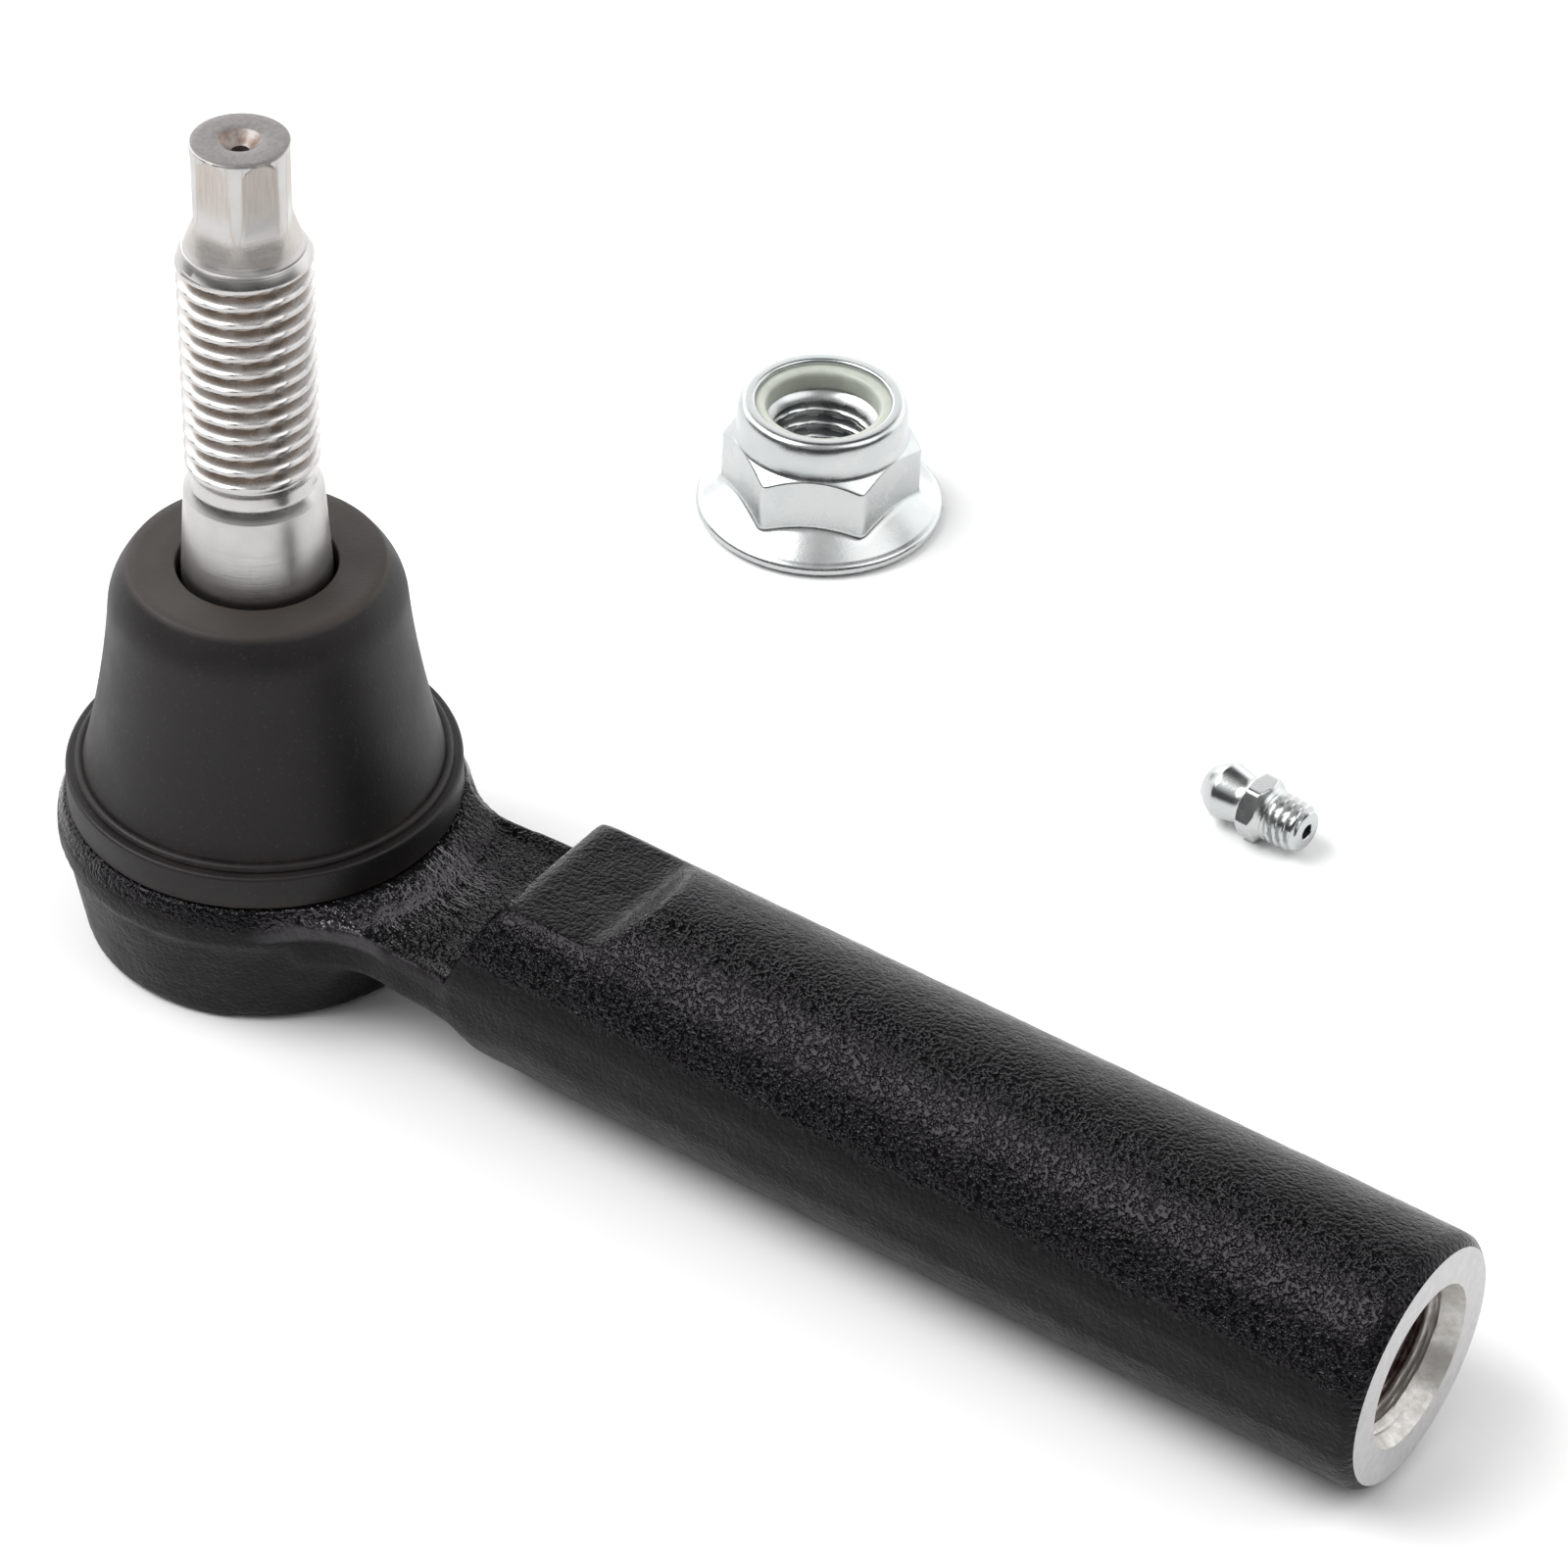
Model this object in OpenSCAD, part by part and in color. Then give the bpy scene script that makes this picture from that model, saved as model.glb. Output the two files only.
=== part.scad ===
// Tie rod end: a ball stud in a forged socket with a threaded barrel, a dust boot,
// and the lock nut and grease fitting that are supplied loose with it.
// Millimetres. The origin is on the stud's axis, in the plane of the socket's flat base.
// +Z runs up the stud and +X runs along the barrel towards its open end.

/* [Stud] */
// Height of the stud's tip above the socket base
stud_top = 97.5; // [96:0.5:104]
// Radius of the ball
ball_r = 10.5; // [10:0.1:10.8]
// Height of the ball's centre
ball_z = 18; // [17.8:0.1:18.2]
// Radius of the stud thread's crests (M14 x 2)
stud_thread_r = 7; // [6:0.5:7]
// Radius of the taper where it leaves the boot
taper_foot_r = 7.9; // [7.6:0.1:7.9]
// Loss of radius per millimetre of height on the taper
taper_slope = 0.063; // [0.04:0.001:0.07]

/* [Socket] */
// Radius of the socket at its parting line
socket_r = 22.5; // [22:0.5:26]
// Height of the shoulder that the boot stands on
shoulder_z = 16.5; // [16.3:0.1:16.8]
// Radius of the neck inside the boot
neck_r = 16.4; // [16.2:0.1:16.5]
// Radius of the chamber that holds the two seats
chamber_r = 12.8; // [12.6:0.1:13]

/* [Barrel] */
// Radius of the barrel
barrel_r = 13.7; // [13:0.1:15]
// Distance from the stud's axis to the barrel's machined end
barrel_end = 143; // [120:1:180]
// Tapping radius of the barrel's thread (M16 x 1.5)
rod_bore_r = 7.25; // [6:0.05:8]
// Usable depth of the barrel's thread
rod_bore_depth = 70; // [50:1:80]

/* [Boot] */
// Radius of the boot's foot flange
boot_foot_r = 21.3; // [21:0.1:22]
// Height of the boot's top face
boot_top = 46.4; // [45:0.2:48]
// Thickness of the rubber
rubber_t = 1.9; // [1.5:0.1:2]

/* [Lock nut] */
// Width across the nut's flats
nut_af = 21; // [21:0.5:22]
// Radius of the nut's flange
nut_flange_r = 14.95; // [14.5:0.05:16]
// Where the loose nut lies, from the stud's axis
nut_place = [6, 97];
// Turn of the nut's hexagon about its axis
nut_turn = 29; // [0:1:59]

/* [Grease fitting] */
// Width across the fitting's flats
fitting_af = 7; // [7:0.5:8]
// Radius of the fitting's thread (M6 x 1)
fitting_thread_r = 3; // [2.8:0.1:3]
// Where the middle of the loose fitting lies, from the stud's axis
fitting_place = [80.5, 75.5];
// Direction of the fitting's threaded end, in degrees from +X
fitting_turn = -5; // [-180:1:180]

/* [Hidden] */
$fn = 96;
eps = 0.01;
fit = 0.05;     // radial running clearance
over = 1;       // how far a cutter runs past what it cuts

forging_black = "#232325";
machined = "#c9c9cb";
rubber = "#35322f";
zinc = "#dfe3e6";
nylon = "#c3c8bd";
acetal = "#e9e6da";
spring_steel = "#8f9399";

// --- shared shapes -------------------------------------------------------

// A point of a cubic curve through its two ends, shaped by its two middle points
function cubic(p, t) = pow(1 - t, 3) * p[0] + 3 * pow(1 - t, 2) * t * p[1]
    + 3 * (1 - t) * t * t * p[2] + pow(t, 3) * p[3];
function cubic_points(p, n) = [for (i = [0 : n]) cubic(p, i / n)];

// Points of an arc about c, from angle a0 to a1
function arc(c, r, a0, a1, n) = [for (i = [0 : n]) let (a = a0 + (a1 - a0) * i / n) c + r * [cos(a), sin(a)]];

module spun(points) { rotate_extrude() polygon(points); }

// A hexagonal prism of width af across its flats
module hexagon(af, h) { cylinder(r = af / 2 / cos(30), h = h, $fn = 6); }

// --- forging -------------------------------------------------------------

parting_z = 13.2;          // height of the forging's parting plane
flash_h = 2.8;             // height of the trimmed strip round the socket
base_r = 19.3;             // outer radius of the socket's flat base
wall_foot_r = 20.1;        // radius of the socket wall just above the base
neck_top = 26.5;           // top of the socket's neck, inside the boot
chamber_top = 23.6;        // underside of the lip that holds the seats in
lip_r = 9.3;               // radius of that lip, at its underside
lip_flare = 1.2;           // gain of the lip's radius, to clear a tilted stud
cover_r = 15;              // radius of the recess for the end cover
cover_top = 4.6;           // height of the ledge that the cover is pressed against
crimp_t = 0.8;             // thickness of the edge rolled over the cover
crimp_r = 13.2;            // inner radius of the rolled edge
web_bottom = 9;            // underside of the web between socket and barrel
web_top = 15;              // top of the web
web_half = 12.4;           // half the web's width at its narrowest
web_fillet = 11;           // radius of the web's fillet against the socket
barrel_start = 34.4;       // start of the barrel's shoulder, at the parting plane
shoulder_run = 3.6;        // how far the shoulder leans towards the barrel's end
flash_flat = 13.5;         // distance from the axis to the barrel's trimmed sides
pad_z = 24.4;              // height of the flat on top of the barrel
pad_end = 49.5;            // end of that flat
pad_ramp = 3.6;            // length of the ramp from the flat to the barrel's top
end_round = 1;             // rounding of the barrel's outer end edge
mouth_r = 8.8;             // radius of the countersink at the barrel's mouth
drill_tip = 4;             // length of the drill point at the bottom of the thread

module socket_outside() {
    spun([[0, 0], [base_r, 0], [wall_foot_r, 0.8], [socket_r - 0.35, parting_z - flash_h / 2],
        [socket_r, parting_z - flash_h / 2], [socket_r, parting_z + flash_h / 2],
        [socket_r - 0.8, shoulder_z], [neck_r, shoulder_z], [neck_r, shoulder_z + 5],
        [neck_r - 1.2, shoulder_z + 6.1], [neck_r - 1.8, neck_top], [0, neck_top]]);
}

module socket_chamber() {
    spun([[0, -over], [crimp_r, -over], [crimp_r, crimp_t], [cover_r, crimp_t], [cover_r, cover_top],
        [chamber_r, cover_top], [chamber_r, chamber_top], [lip_r, chamber_top],
        [lip_r + lip_flare, neck_top], [lip_r + lip_flare, neck_top + over], [0, neck_top + over]]);
}

// Plan of the web: straight sides that run into the socket through a fillet
module web_plan() {
    fillet_y = web_half + web_fillet;
    fillet_x = sqrt(pow(socket_r + web_fillet, 2) - pow(fillet_y, 2));
    touch = atan2(fillet_y, fillet_x);
    side = concat([[barrel_start + 4, web_half + 1], [barrel_start - 2, web_half + 0.6]],
        arc([fillet_x, fillet_y], web_fillet, 270, 180 + touch, 10));
    far = [for (p = side) p];
    near = [for (i = [len(side) - 1 : -1 : 0]) [side[i][0], -side[i][1]]];
    polygon(concat(far, near));
}

module web() { translate([0, 0, web_bottom]) linear_extrude(web_top - web_bottom) web_plan(); }

// Side view of the barrel: leaning shoulders at the socket end, and the flat on top
module barrel_side() {
    top_x = barrel_start + shoulder_run;
    translate([0, barrel_r + over, 0]) rotate([90, 0, 0]) linear_extrude(2 * (barrel_r + over))
        polygon([[barrel_start, web_bottom], [top_x, -over], [barrel_end + over, -over],
            [barrel_end + over, 2 * barrel_r + over], [pad_end + pad_ramp, 2 * barrel_r + over],
            [pad_end + pad_ramp, 2 * barrel_r], [pad_end, pad_z], [top_x, pad_z], [barrel_start, web_top]]);
}

module barrel_round() {
    translate([0, 0, barrel_r]) rotate([0, 90, 0])
        spun(concat([[0, barrel_start - over], [barrel_r, barrel_start - over]],
            arc([barrel_r - end_round, barrel_end - end_round], end_round, 0, 90, 6), [[0, barrel_end]]));
}

module barrel() {
    width = 2 * flash_flat;
    intersection() {
        barrel_round();
        barrel_side();
        translate([0, -flash_flat, -over]) cube([barrel_end + over, width, 2 * (barrel_r + over)]);
    }
}

module rod_bore() {
    sink = mouth_r - rod_bore_r;
    translate([0, 0, barrel_r]) rotate([0, 90, 0]) {
        translate([0, 0, barrel_end - rod_bore_depth]) cylinder(r = rod_bore_r, h = rod_bore_depth + over);
        translate([0, 0, barrel_end - rod_bore_depth - drill_tip])
            cylinder(r1 = 0, r2 = rod_bore_r, h = drill_tip + eps);
        translate([0, 0, barrel_end - sink]) cylinder(r1 = rod_bore_r, r2 = mouth_r + over, h = sink + over);
    }
}

module housing_forging() {
    color(forging_black) difference() {
        union() {
            socket_outside();
            web();
            barrel();
        }
        socket_chamber();
        rod_bore();
    }
}

// --- what closes the socket from below ------------------------------------

cover_t = 3.7;             // thickness of the end cover
grease_bore_r = 2.5;       // tapping radius of the grease port (M6 x 1)
port_sink = 0.5;           // chamfer at the port's mouth
seal_r = 0.62;             // radius of the sealing ring's section
seal_ring_r = 14.28;       // radius of the sealing ring's centre line
spring_out_r = 11.8;       // outer radius of the disc spring
spring_in_r = 5.4;         // inner radius of the disc spring
spring_t = 0.6;            // thickness of the disc spring
seat_floor = 5.8;          // underside of the pressure seat

module end_cover() {
    rim_r = cover_r - fit;
    seal_in = seal_ring_r - seal_r - 0.02;
    top = crimp_t + cover_t;
    color(zinc) difference() {
        cylinder_between(crimp_t, top, rim_r);
        translate([0, 0, top - 2 * seal_r]) difference() {
            cylinder(r = cover_r + over, h = 2 * seal_r + over);
            translate([0, 0, -over]) cylinder(r = seal_in, h = 2 * (seal_r + over) + over);
        }
        translate([0, 0, 0]) cylinder(r = grease_bore_r, h = top + over);
        translate([0, 0, crimp_t - eps])
            cylinder(r1 = grease_bore_r + port_sink, r2 = grease_bore_r, h = port_sink);
    }
}

module cylinder_between(z0, z1, r) { translate([0, 0, z0]) cylinder(r = r, h = z1 - z0); }

module cover_seal() {
    color("#1c1c1c") translate([0, 0, crimp_t + cover_t - seal_r]) rotate_extrude()
        translate([seal_ring_r, 0]) circle(r = seal_r, $fn = 32);
}

// A disc spring: its outer edge stands on the cover and its inner edge lifts the seat
module preload_spring() {
    foot = crimp_t + cover_t + 0.02;
    head = seat_floor - 0.02;
    color(spring_steel) spun([[spring_out_r, foot], [spring_out_r, foot + spring_t],
        [spring_in_r, head], [spring_in_r, head - spring_t]]);
}

// --- seats ---------------------------------------------------------------

ball_gap = 0.08;           // clearance between the ball and its seats
seat_split = 0.3;          // half the gap between the two seats
upper_seat_top = 23.5;     // top of the upper seat
seat_port_r = 4;           // radius of the grease passage in the pressure seat
groove_r = 0.7;            // radius of the grease grooves
seat_grooves = 4;          // number of grease grooves

module ball_space() { translate([0, 0, ball_z]) sphere(r = ball_r + ball_gap); }

module pressure_seat() {
    color(acetal) difference() {
        cylinder_between(seat_floor, ball_z - seat_split, chamber_r - fit);
        ball_space();
        translate([0, 0, seat_floor - over]) cylinder(r = seat_port_r, h = ball_z);
        for (i = [0 : seat_grooves - 1]) rotate([0, 0, 45 + i * 360 / seat_grooves])
            translate([ball_r, 0, seat_floor + 2]) cylinder(r = groove_r, h = ball_z, $fn = 24);
    }
}

module upper_seat() {
    color(acetal) difference() {
        cylinder_between(ball_z + seat_split, upper_seat_top, chamber_r - fit);
        ball_space();
    }
}

// --- boot ----------------------------------------------------------------

foot_z = shoulder_z + fit;         // underside of the boot
flange_top = 20.6;                 // top of the boot's foot flange
bell_foot = [19.3, 21.4];          // where the bell leaves the bead above the flange
bell_waist = [15.75, 41.3];        // where the bell turns in to its top face
rim_r = 13.5;                      // radius of the rim of the top face
hole_r = 8.5;                      // radius of the hole in the top face
seal_lip_r = 8;                    // radius of the lip that wipes the stud
lip_bottom = 40.4;                 // underside of that lip
anchor_t = 0.8;                    // thickness of the anchor ring
anchor_z = 17.2;                   // underside of the anchor ring
anchor_leg = 2.6;                  // width of the anchor ring's flat leg
anchor_h = 3.4;                    // height of the anchor ring
ring_in_r = 8.7;                   // inner radius of the lip ring
ring_t = 1;                        // width of the lip ring's section
ring_z = 41;                       // underside of the lip ring
ring_h = 1.8;                      // height of the lip ring

function bell_curve(dr) = cubic_points([bell_foot - [dr, 0], [17.9 - dr, 26.5], [16.4 - dr, 34],
    bell_waist - [dr, 0]], 10);
function shoulder_curve() = cubic_points([bell_waist, [15.6, 43.2], [14.9, 44.6], [rim_r, boot_top]], 5);

module anchor_section(grow) {
    r = neck_r + fit - grow;
    translate([r, anchor_z - grow]) square([anchor_t + 2 * grow, anchor_h + 2 * grow]);
    translate([r, anchor_z - grow]) square([anchor_t + anchor_leg + 2 * grow, anchor_t + 2 * grow]);
}

module boot_anchor_ring() { color(spring_steel) rotate_extrude() anchor_section(0); }

module lip_ring_section(grow) {
    translate([ring_in_r - grow, ring_z - grow]) square([ring_t + 2 * grow, ring_h + 2 * grow]);
}

module boot_lip_ring() { color(spring_steel) rotate_extrude() lip_ring_section(0); }

module boot_section() {
    inner = bell_curve(rubber_t);
    polygon(concat(
        [[neck_r + fit, foot_z], [boot_foot_r, foot_z]],
        arc([boot_foot_r - 0.5, flange_top - 0.5], 0.5, 0, 90, 4),
        arc([bell_foot[0] + 0.1, flange_top + 0.1], 0.7, -5, 90, 6),
        bell_curve(0), shoulder_curve(),
        [[hole_r, boot_top], [hole_r, boot_top - 2.4], [seal_lip_r, boot_top - 3], [seal_lip_r, lip_bottom],
            [ring_in_r + ring_t + 1.2, lip_bottom], [ring_in_r + ring_t + 1.8, boot_top - 3],
            [bell_waist[0] - rubber_t - 0.8, boot_top - 3.4]],
        [for (i = [len(inner) - 1 : -1 : 0]) inner[i]],
        [[neck_r + fit, bell_foot[1] + 0.1]]));
}

module dust_boot() {
    color(rubber) rotate_extrude() difference() {
        boot_section();
        anchor_section(0.02);
        lip_ring_section(fit);
    }
}

// --- ball stud -----------------------------------------------------------

ball_flat_z = 8;           // flat on the underside of the ball
stud_neck_r = 6;           // radius of the stud's neck, above the ball
neck_z = 30;               // where the neck starts to widen
taper_foot_z = 46.4;       // foot of the taper
taper_head_z = 55.6;       // head of the taper
groove_z = 58.5;           // foot of the thread's run-out groove
groove_h = 1.6;            // height of that groove
thread_foot = 60.6;        // start of the thread
thread_head = 84.2;        // end of the thread
tip_r = 5.1;               // radius of the stud's tip
tip_z = 89;                // foot of the tip's straight stretch
tip_flat = 4.7;            // distance from the axis to the tip's six flats
tip_flat_foot = 88.2;      // lowest point of the flats
tip_flat_head = 97;        // highest point of the flats
tip_flat_round = 2.6;      // radius of the flats' round ends
drill_r = 2.15;            // radius of the centre drilling

module stud_shank() {
    head_r = taper_foot_r - taper_slope * (taper_head_z - taper_foot_z);
    spun(concat([[0, ball_z], [stud_neck_r, ball_z]],
        cubic_points([[stud_neck_r, neck_z], [stud_neck_r, neck_z + 3], [taper_foot_r, neck_z + 3],
            [taper_foot_r, neck_z + 6]], 6),
        [[taper_foot_r, taper_foot_z], [head_r, taper_head_z], [stud_thread_r - 0.25, groove_z - 0.3],
            [stud_thread_r - 0.4, groove_z], [stud_thread_r - 0.4, groove_z + groove_h],
            [stud_thread_r, thread_foot], [stud_thread_r, thread_head], [6.35, 86], [6.15, 86.1],
            [tip_r, tip_z], [tip_r, stud_top - 0.2], [tip_r - 0.2, stud_top], [0, stud_top]]));
}

// One cutter for a flat of the tip, with round ends
module flat_cutter() {
    low = tip_flat_foot + tip_flat_round;
    high = tip_flat_head - tip_flat_round;
    translate([tip_flat, 0, 0]) rotate([90, 0, 90]) linear_extrude(tip_r) {
        translate([0, low]) circle(r = tip_flat_round, $fn = 48);
        translate([0, high]) circle(r = tip_flat_round, $fn = 48);
        translate([-tip_flat_round, low]) square([2 * tip_flat_round, high - low]);
    }
}

module ball_stud() {
    color(machined) difference() {
        union() {
            translate([0, 0, ball_z]) sphere(r = ball_r);
            stud_shank();
        }
        translate([-ball_r, -ball_r, 0]) cube([2 * ball_r, 2 * ball_r, ball_flat_z]);
        for (i = [0 : 5]) rotate([0, 0, 33 + 60 * i]) flat_cutter();
        translate([0, 0, stud_top - 1.2]) cylinder(r1 = 0.9, r2 = drill_r, h = 1.2 + eps);
        translate([0, 0, stud_top - 4]) cylinder(r = 0.9, h = 4);
    }
}

// --- lock nut ------------------------------------------------------------

nut_bore_r = 6;            // tapping radius of the nut's thread (M14 x 2)
nut_h = 15.6;              // height of the nut
flange_edge = 1.7;         // height of the flange's edge
hex_top = 10.8;            // top of the hexagon
collar_r = 10.3;           // radius of the collar that holds the insert
insert_r = 8.5;            // outer radius of the nylon insert
insert_in_r = 6.7;         // inner radius of the nylon insert
insert_foot = 12;          // underside of the insert
insert_h = 2.9;            // height of the insert
mouth_in_r = 8.1;          // radius of the crimped mouth above the insert

module nut_hexagon() {
    corner = nut_af / 2 / cos(30);
    intersection() {
        hexagon(nut_af, hex_top);
        spun([[0, 0], [corner + 1, 0], [corner + 1, hex_top - 1.6], [nut_af / 2 - 0.2, hex_top], [0, hex_top]]);
    }
}

module nut_blank() {
    spun(concat([[0, 0], [nut_flange_r - 0.5, 0], [nut_flange_r, 0.5], [nut_flange_r, flange_edge - 0.5]],
        [[nut_flange_r - 0.5, flange_edge], [nut_af / 2 + 0.3, 4.4], [0, 4.4]]));
    nut_hexagon();
    spun(concat([[0, 4], [collar_r, 4], [collar_r, 12.6]],
        arc([collar_r - 2, nut_h - 1.9], 1.9, 20, 90, 6), [[mouth_in_r, nut_h], [0, nut_h]]));
}

module lock_nut() {
    chamfer = 1.1;
    color(zinc) translate([nut_place[0], nut_place[1], 0]) rotate([0, 0, nut_turn]) difference() {
        nut_blank();
        translate([0, 0, -over]) cylinder(r = nut_bore_r, h = nut_h + 2 * over);
        translate([0, 0, -eps]) cylinder(r1 = nut_bore_r + chamfer, r2 = nut_bore_r, h = chamfer);
        translate([0, 0, insert_foot]) cylinder(r = insert_r, h = insert_h + 0.05);
        translate([0, 0, insert_foot + insert_h]) cylinder(r = mouth_in_r, h = nut_h);
    }
}

module nut_insert() {
    color(nylon) translate([nut_place[0], nut_place[1], insert_foot]) difference() {
        cylinder(r = insert_r, h = insert_h);
        translate([0, 0, -over]) cylinder(r = insert_in_r, h = insert_h + 2 * over);
    }
}

// --- grease fitting, drawn upright from its threaded end, then laid down ---

fitting_len = 13.4;        // whole length
fit_thread_h = 4.4;        // top of the thread
fit_hex_z = 5;             // foot of the hexagon
fit_hex_h = 2.5;           // height of the hexagon
fit_waist_z = 7.9;         // foot of the waist
fit_waist_h = 0.7;         // height of the waist
fit_waist_r = 2.85;        // radius of the waist
fit_head_r = 3.4;          // radius of the head
fit_head_z = 10.9;         // foot of the head's straight stretch
fit_bevel_z = 11.2;        // foot of the head's bevel
fit_face_z = 12.5;         // top of the head's bevel
fit_face_r = 2.65;         // radius of the head's front face
fit_nose_r = 1.9;          // radius of the flat round the orifice
fit_mouth_r = 0.75;        // radius of the orifice
fit_bore_r = 1.4;          // radius of the valve chamber
fit_passage_r = 0.9;       // radius of the grease passage
fit_stop_z = 5.4;          // step that the check spring stands on
check_r = 1.15;            // radius of the check ball
check_z = 11.95;           // height of the check ball's centre
check_wire_r = 0.17;       // radius of the check spring's wire
check_coil_r = 0.98;       // radius of the check spring's coil
check_turns = 5;           // turns of the check spring

module laid_down() {
    translate([fitting_place[0], fitting_place[1], fitting_af / 2]) rotate([0, 0, fitting_turn])
        rotate([0, -90, 0]) translate([0, 0, -fitting_len / 2]) rotate([0, 0, 30]) children();
}

module fitting_hexagon() {
    corner = fitting_af / 2 / cos(30);
    intersection() {
        translate([0, 0, fit_hex_z]) hexagon(fitting_af, fit_hex_h);
        spun([[0, fit_hex_z - 0.1], [fitting_af / 2 - 0.35, fit_hex_z], [corner, fit_hex_z + 0.7],
            [corner, fit_hex_z + fit_hex_h - 0.4], [fitting_af / 2, fit_hex_z + fit_hex_h], [0, fit_hex_z + fit_hex_h]]);
    }
}

module fitting_body() {
    color(zinc) laid_down() difference() {
        union() {
            spun([[0, 0], [fitting_thread_r - 0.6, 0], [fitting_thread_r, 0.6], [fitting_thread_r, fit_thread_h],
                [fitting_af / 2 - 0.35, fit_hex_z], [fitting_af / 2 - 0.35, fit_hex_z + fit_hex_h],
                [fit_waist_r, fit_waist_z], [fit_waist_r, fit_waist_z + fit_waist_h],
                [fit_head_r, fit_head_z], [fit_head_r, fit_bevel_z], [fit_face_r, fit_face_z],
                [fit_nose_r, fitting_len], [0, fitting_len]]);
            fitting_hexagon();
        }
        translate([0, 0, -over]) cylinder(r = fit_passage_r, h = fit_stop_z + 2 * over);
        translate([0, 0, fit_stop_z]) cylinder(r = fit_bore_r, h = check_z - fit_stop_z, $fn = 48);
        translate([0, 0, check_z - eps]) cylinder(r1 = fit_bore_r, r2 = fit_mouth_r, h = 1.1);
        translate([0, 0, check_z + 1]) cylinder(r = fit_mouth_r, h = 2 * over, $fn = 48);
    }
}

module check_ball() { color(machined) laid_down() translate([0, 0, check_z]) sphere(r = check_r, $fn = 48); }

// The check spring: a coil swept as one closed tube
module check_spring() {
    steps = 10;
    sides = 6;
    rings = check_turns * steps;
    z0 = fit_stop_z + check_wire_r + 0.02;
    rise = check_z - check_r - 2 * check_wire_r - 0.02 - fit_stop_z;
    points = [for (i = [0 : rings]) for (k = [0 : sides - 1])
        let (a = 360 * i / steps, b = 360 * k / sides, r = check_coil_r + check_wire_r * cos(b))
        [r * cos(a), r * sin(a), z0 + rise * i / rings + check_wire_r * sin(b)]];
    sides_faces = [for (i = [0 : rings - 1]) for (k = [0 : sides - 1])
        let (n = (k + 1) % sides) [i * sides + k, i * sides + n, (i + 1) * sides + n, (i + 1) * sides + k]];
    first = [for (k = [sides - 1 : -1 : 0]) k];
    last = [for (k = [0 : sides - 1]) rings * sides + k];
    color(spring_steel) laid_down() polyhedron(points, concat(sides_faces, [first, last]));
}

housing_forging();
end_cover();
cover_seal();
preload_spring();
pressure_seat();
upper_seat();
boot_anchor_ring();
dust_boot();
boot_lip_ring();
ball_stud();
lock_nut();
nut_insert();
fitting_body();
check_ball();
check_spring();
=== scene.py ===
"""Looks of the tie rod end: forging, stud, boot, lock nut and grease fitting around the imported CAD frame."""

import math

import bmesh
import bpy
import numpy as np
from mathutils import Matrix, Vector, noise


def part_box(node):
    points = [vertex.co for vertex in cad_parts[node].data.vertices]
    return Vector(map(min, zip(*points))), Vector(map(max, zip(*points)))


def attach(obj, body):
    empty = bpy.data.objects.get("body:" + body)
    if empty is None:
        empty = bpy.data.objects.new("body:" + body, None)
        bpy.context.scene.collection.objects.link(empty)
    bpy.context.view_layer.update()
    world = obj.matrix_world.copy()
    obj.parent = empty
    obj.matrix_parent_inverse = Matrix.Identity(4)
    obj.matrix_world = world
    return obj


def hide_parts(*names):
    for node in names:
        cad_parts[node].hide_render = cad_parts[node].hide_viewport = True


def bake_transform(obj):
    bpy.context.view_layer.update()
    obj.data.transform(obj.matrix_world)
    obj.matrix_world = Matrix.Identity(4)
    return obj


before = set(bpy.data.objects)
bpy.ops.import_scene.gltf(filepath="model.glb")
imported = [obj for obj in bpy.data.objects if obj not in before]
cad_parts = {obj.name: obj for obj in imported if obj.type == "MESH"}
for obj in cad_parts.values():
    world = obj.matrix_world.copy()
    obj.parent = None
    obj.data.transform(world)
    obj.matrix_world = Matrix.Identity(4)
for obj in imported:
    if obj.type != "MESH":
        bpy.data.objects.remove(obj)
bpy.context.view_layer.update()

MM = 0.001
TAU = 2 * math.pi
AXIS_R = 0.01  # radius at which a solid profile starts on the axis


# --- sizes, in millimetres, from the frame where it has them ---


def node_box(node):
    """A CAD node's lowest and highest corners, in millimetres."""
    low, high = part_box(node)
    return np.array(low) / MM, np.array(high) / MM


housing_low, housing_high = node_box("housing_forging")
stud_low, stud_high = node_box("ball_stud")
boot_low, boot_high = node_box("dust_boot")
nut_low, nut_high = node_box("lock_nut")
insert_low, insert_high = node_box("nut_insert")
fitting_low, fitting_high = node_box("fitting_body")
cover_low, cover_high = node_box("end_cover")

BALL_Z = 18.0  # height of the ball's centre
BALL_R = stud_high[0]
STUD_TOP = stud_high[2]
BARREL_END = housing_high[0]
SOCKET_R = -housing_low[0]
NECK_TOP = housing_high[2]
BARREL_R = 13.7
BOOT_TOP = boot_high[2]
BOOT_FOOT = boot_low[2]
BOOT_FOOT_R = boot_high[0]
NUT_H = nut_high[2]
NUT_PLACE = (nut_low + nut_high) / 2
NUT_FLANGE_R = (nut_high[0] - nut_low[0]) / 2
FITTING_PLACE = (fitting_low + fitting_high) / 2
FITTING_AF = fitting_high[2] - fitting_low[2]
FITTING_LEN = 13.4


# --- mesh helpers ---


def show(data):
    """A new object in the scene for a mesh or camera, with the same name."""
    obj = bpy.data.objects.new(data.name, data)
    bpy.context.scene.collection.objects.link(obj)
    return obj


def add_object(name, verts_mm, faces, sharp_deg=35):
    """A shown object from points in millimetres; edges sharper than sharp_deg stay crisp."""
    mesh = bpy.data.meshes.new(name)
    mesh.from_pydata([tuple(v) for v in np.asarray(verts_mm) * MM], [], faces)
    mesh.validate()
    obj = show(mesh)
    shade(obj, sharp_deg)
    return obj


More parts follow.
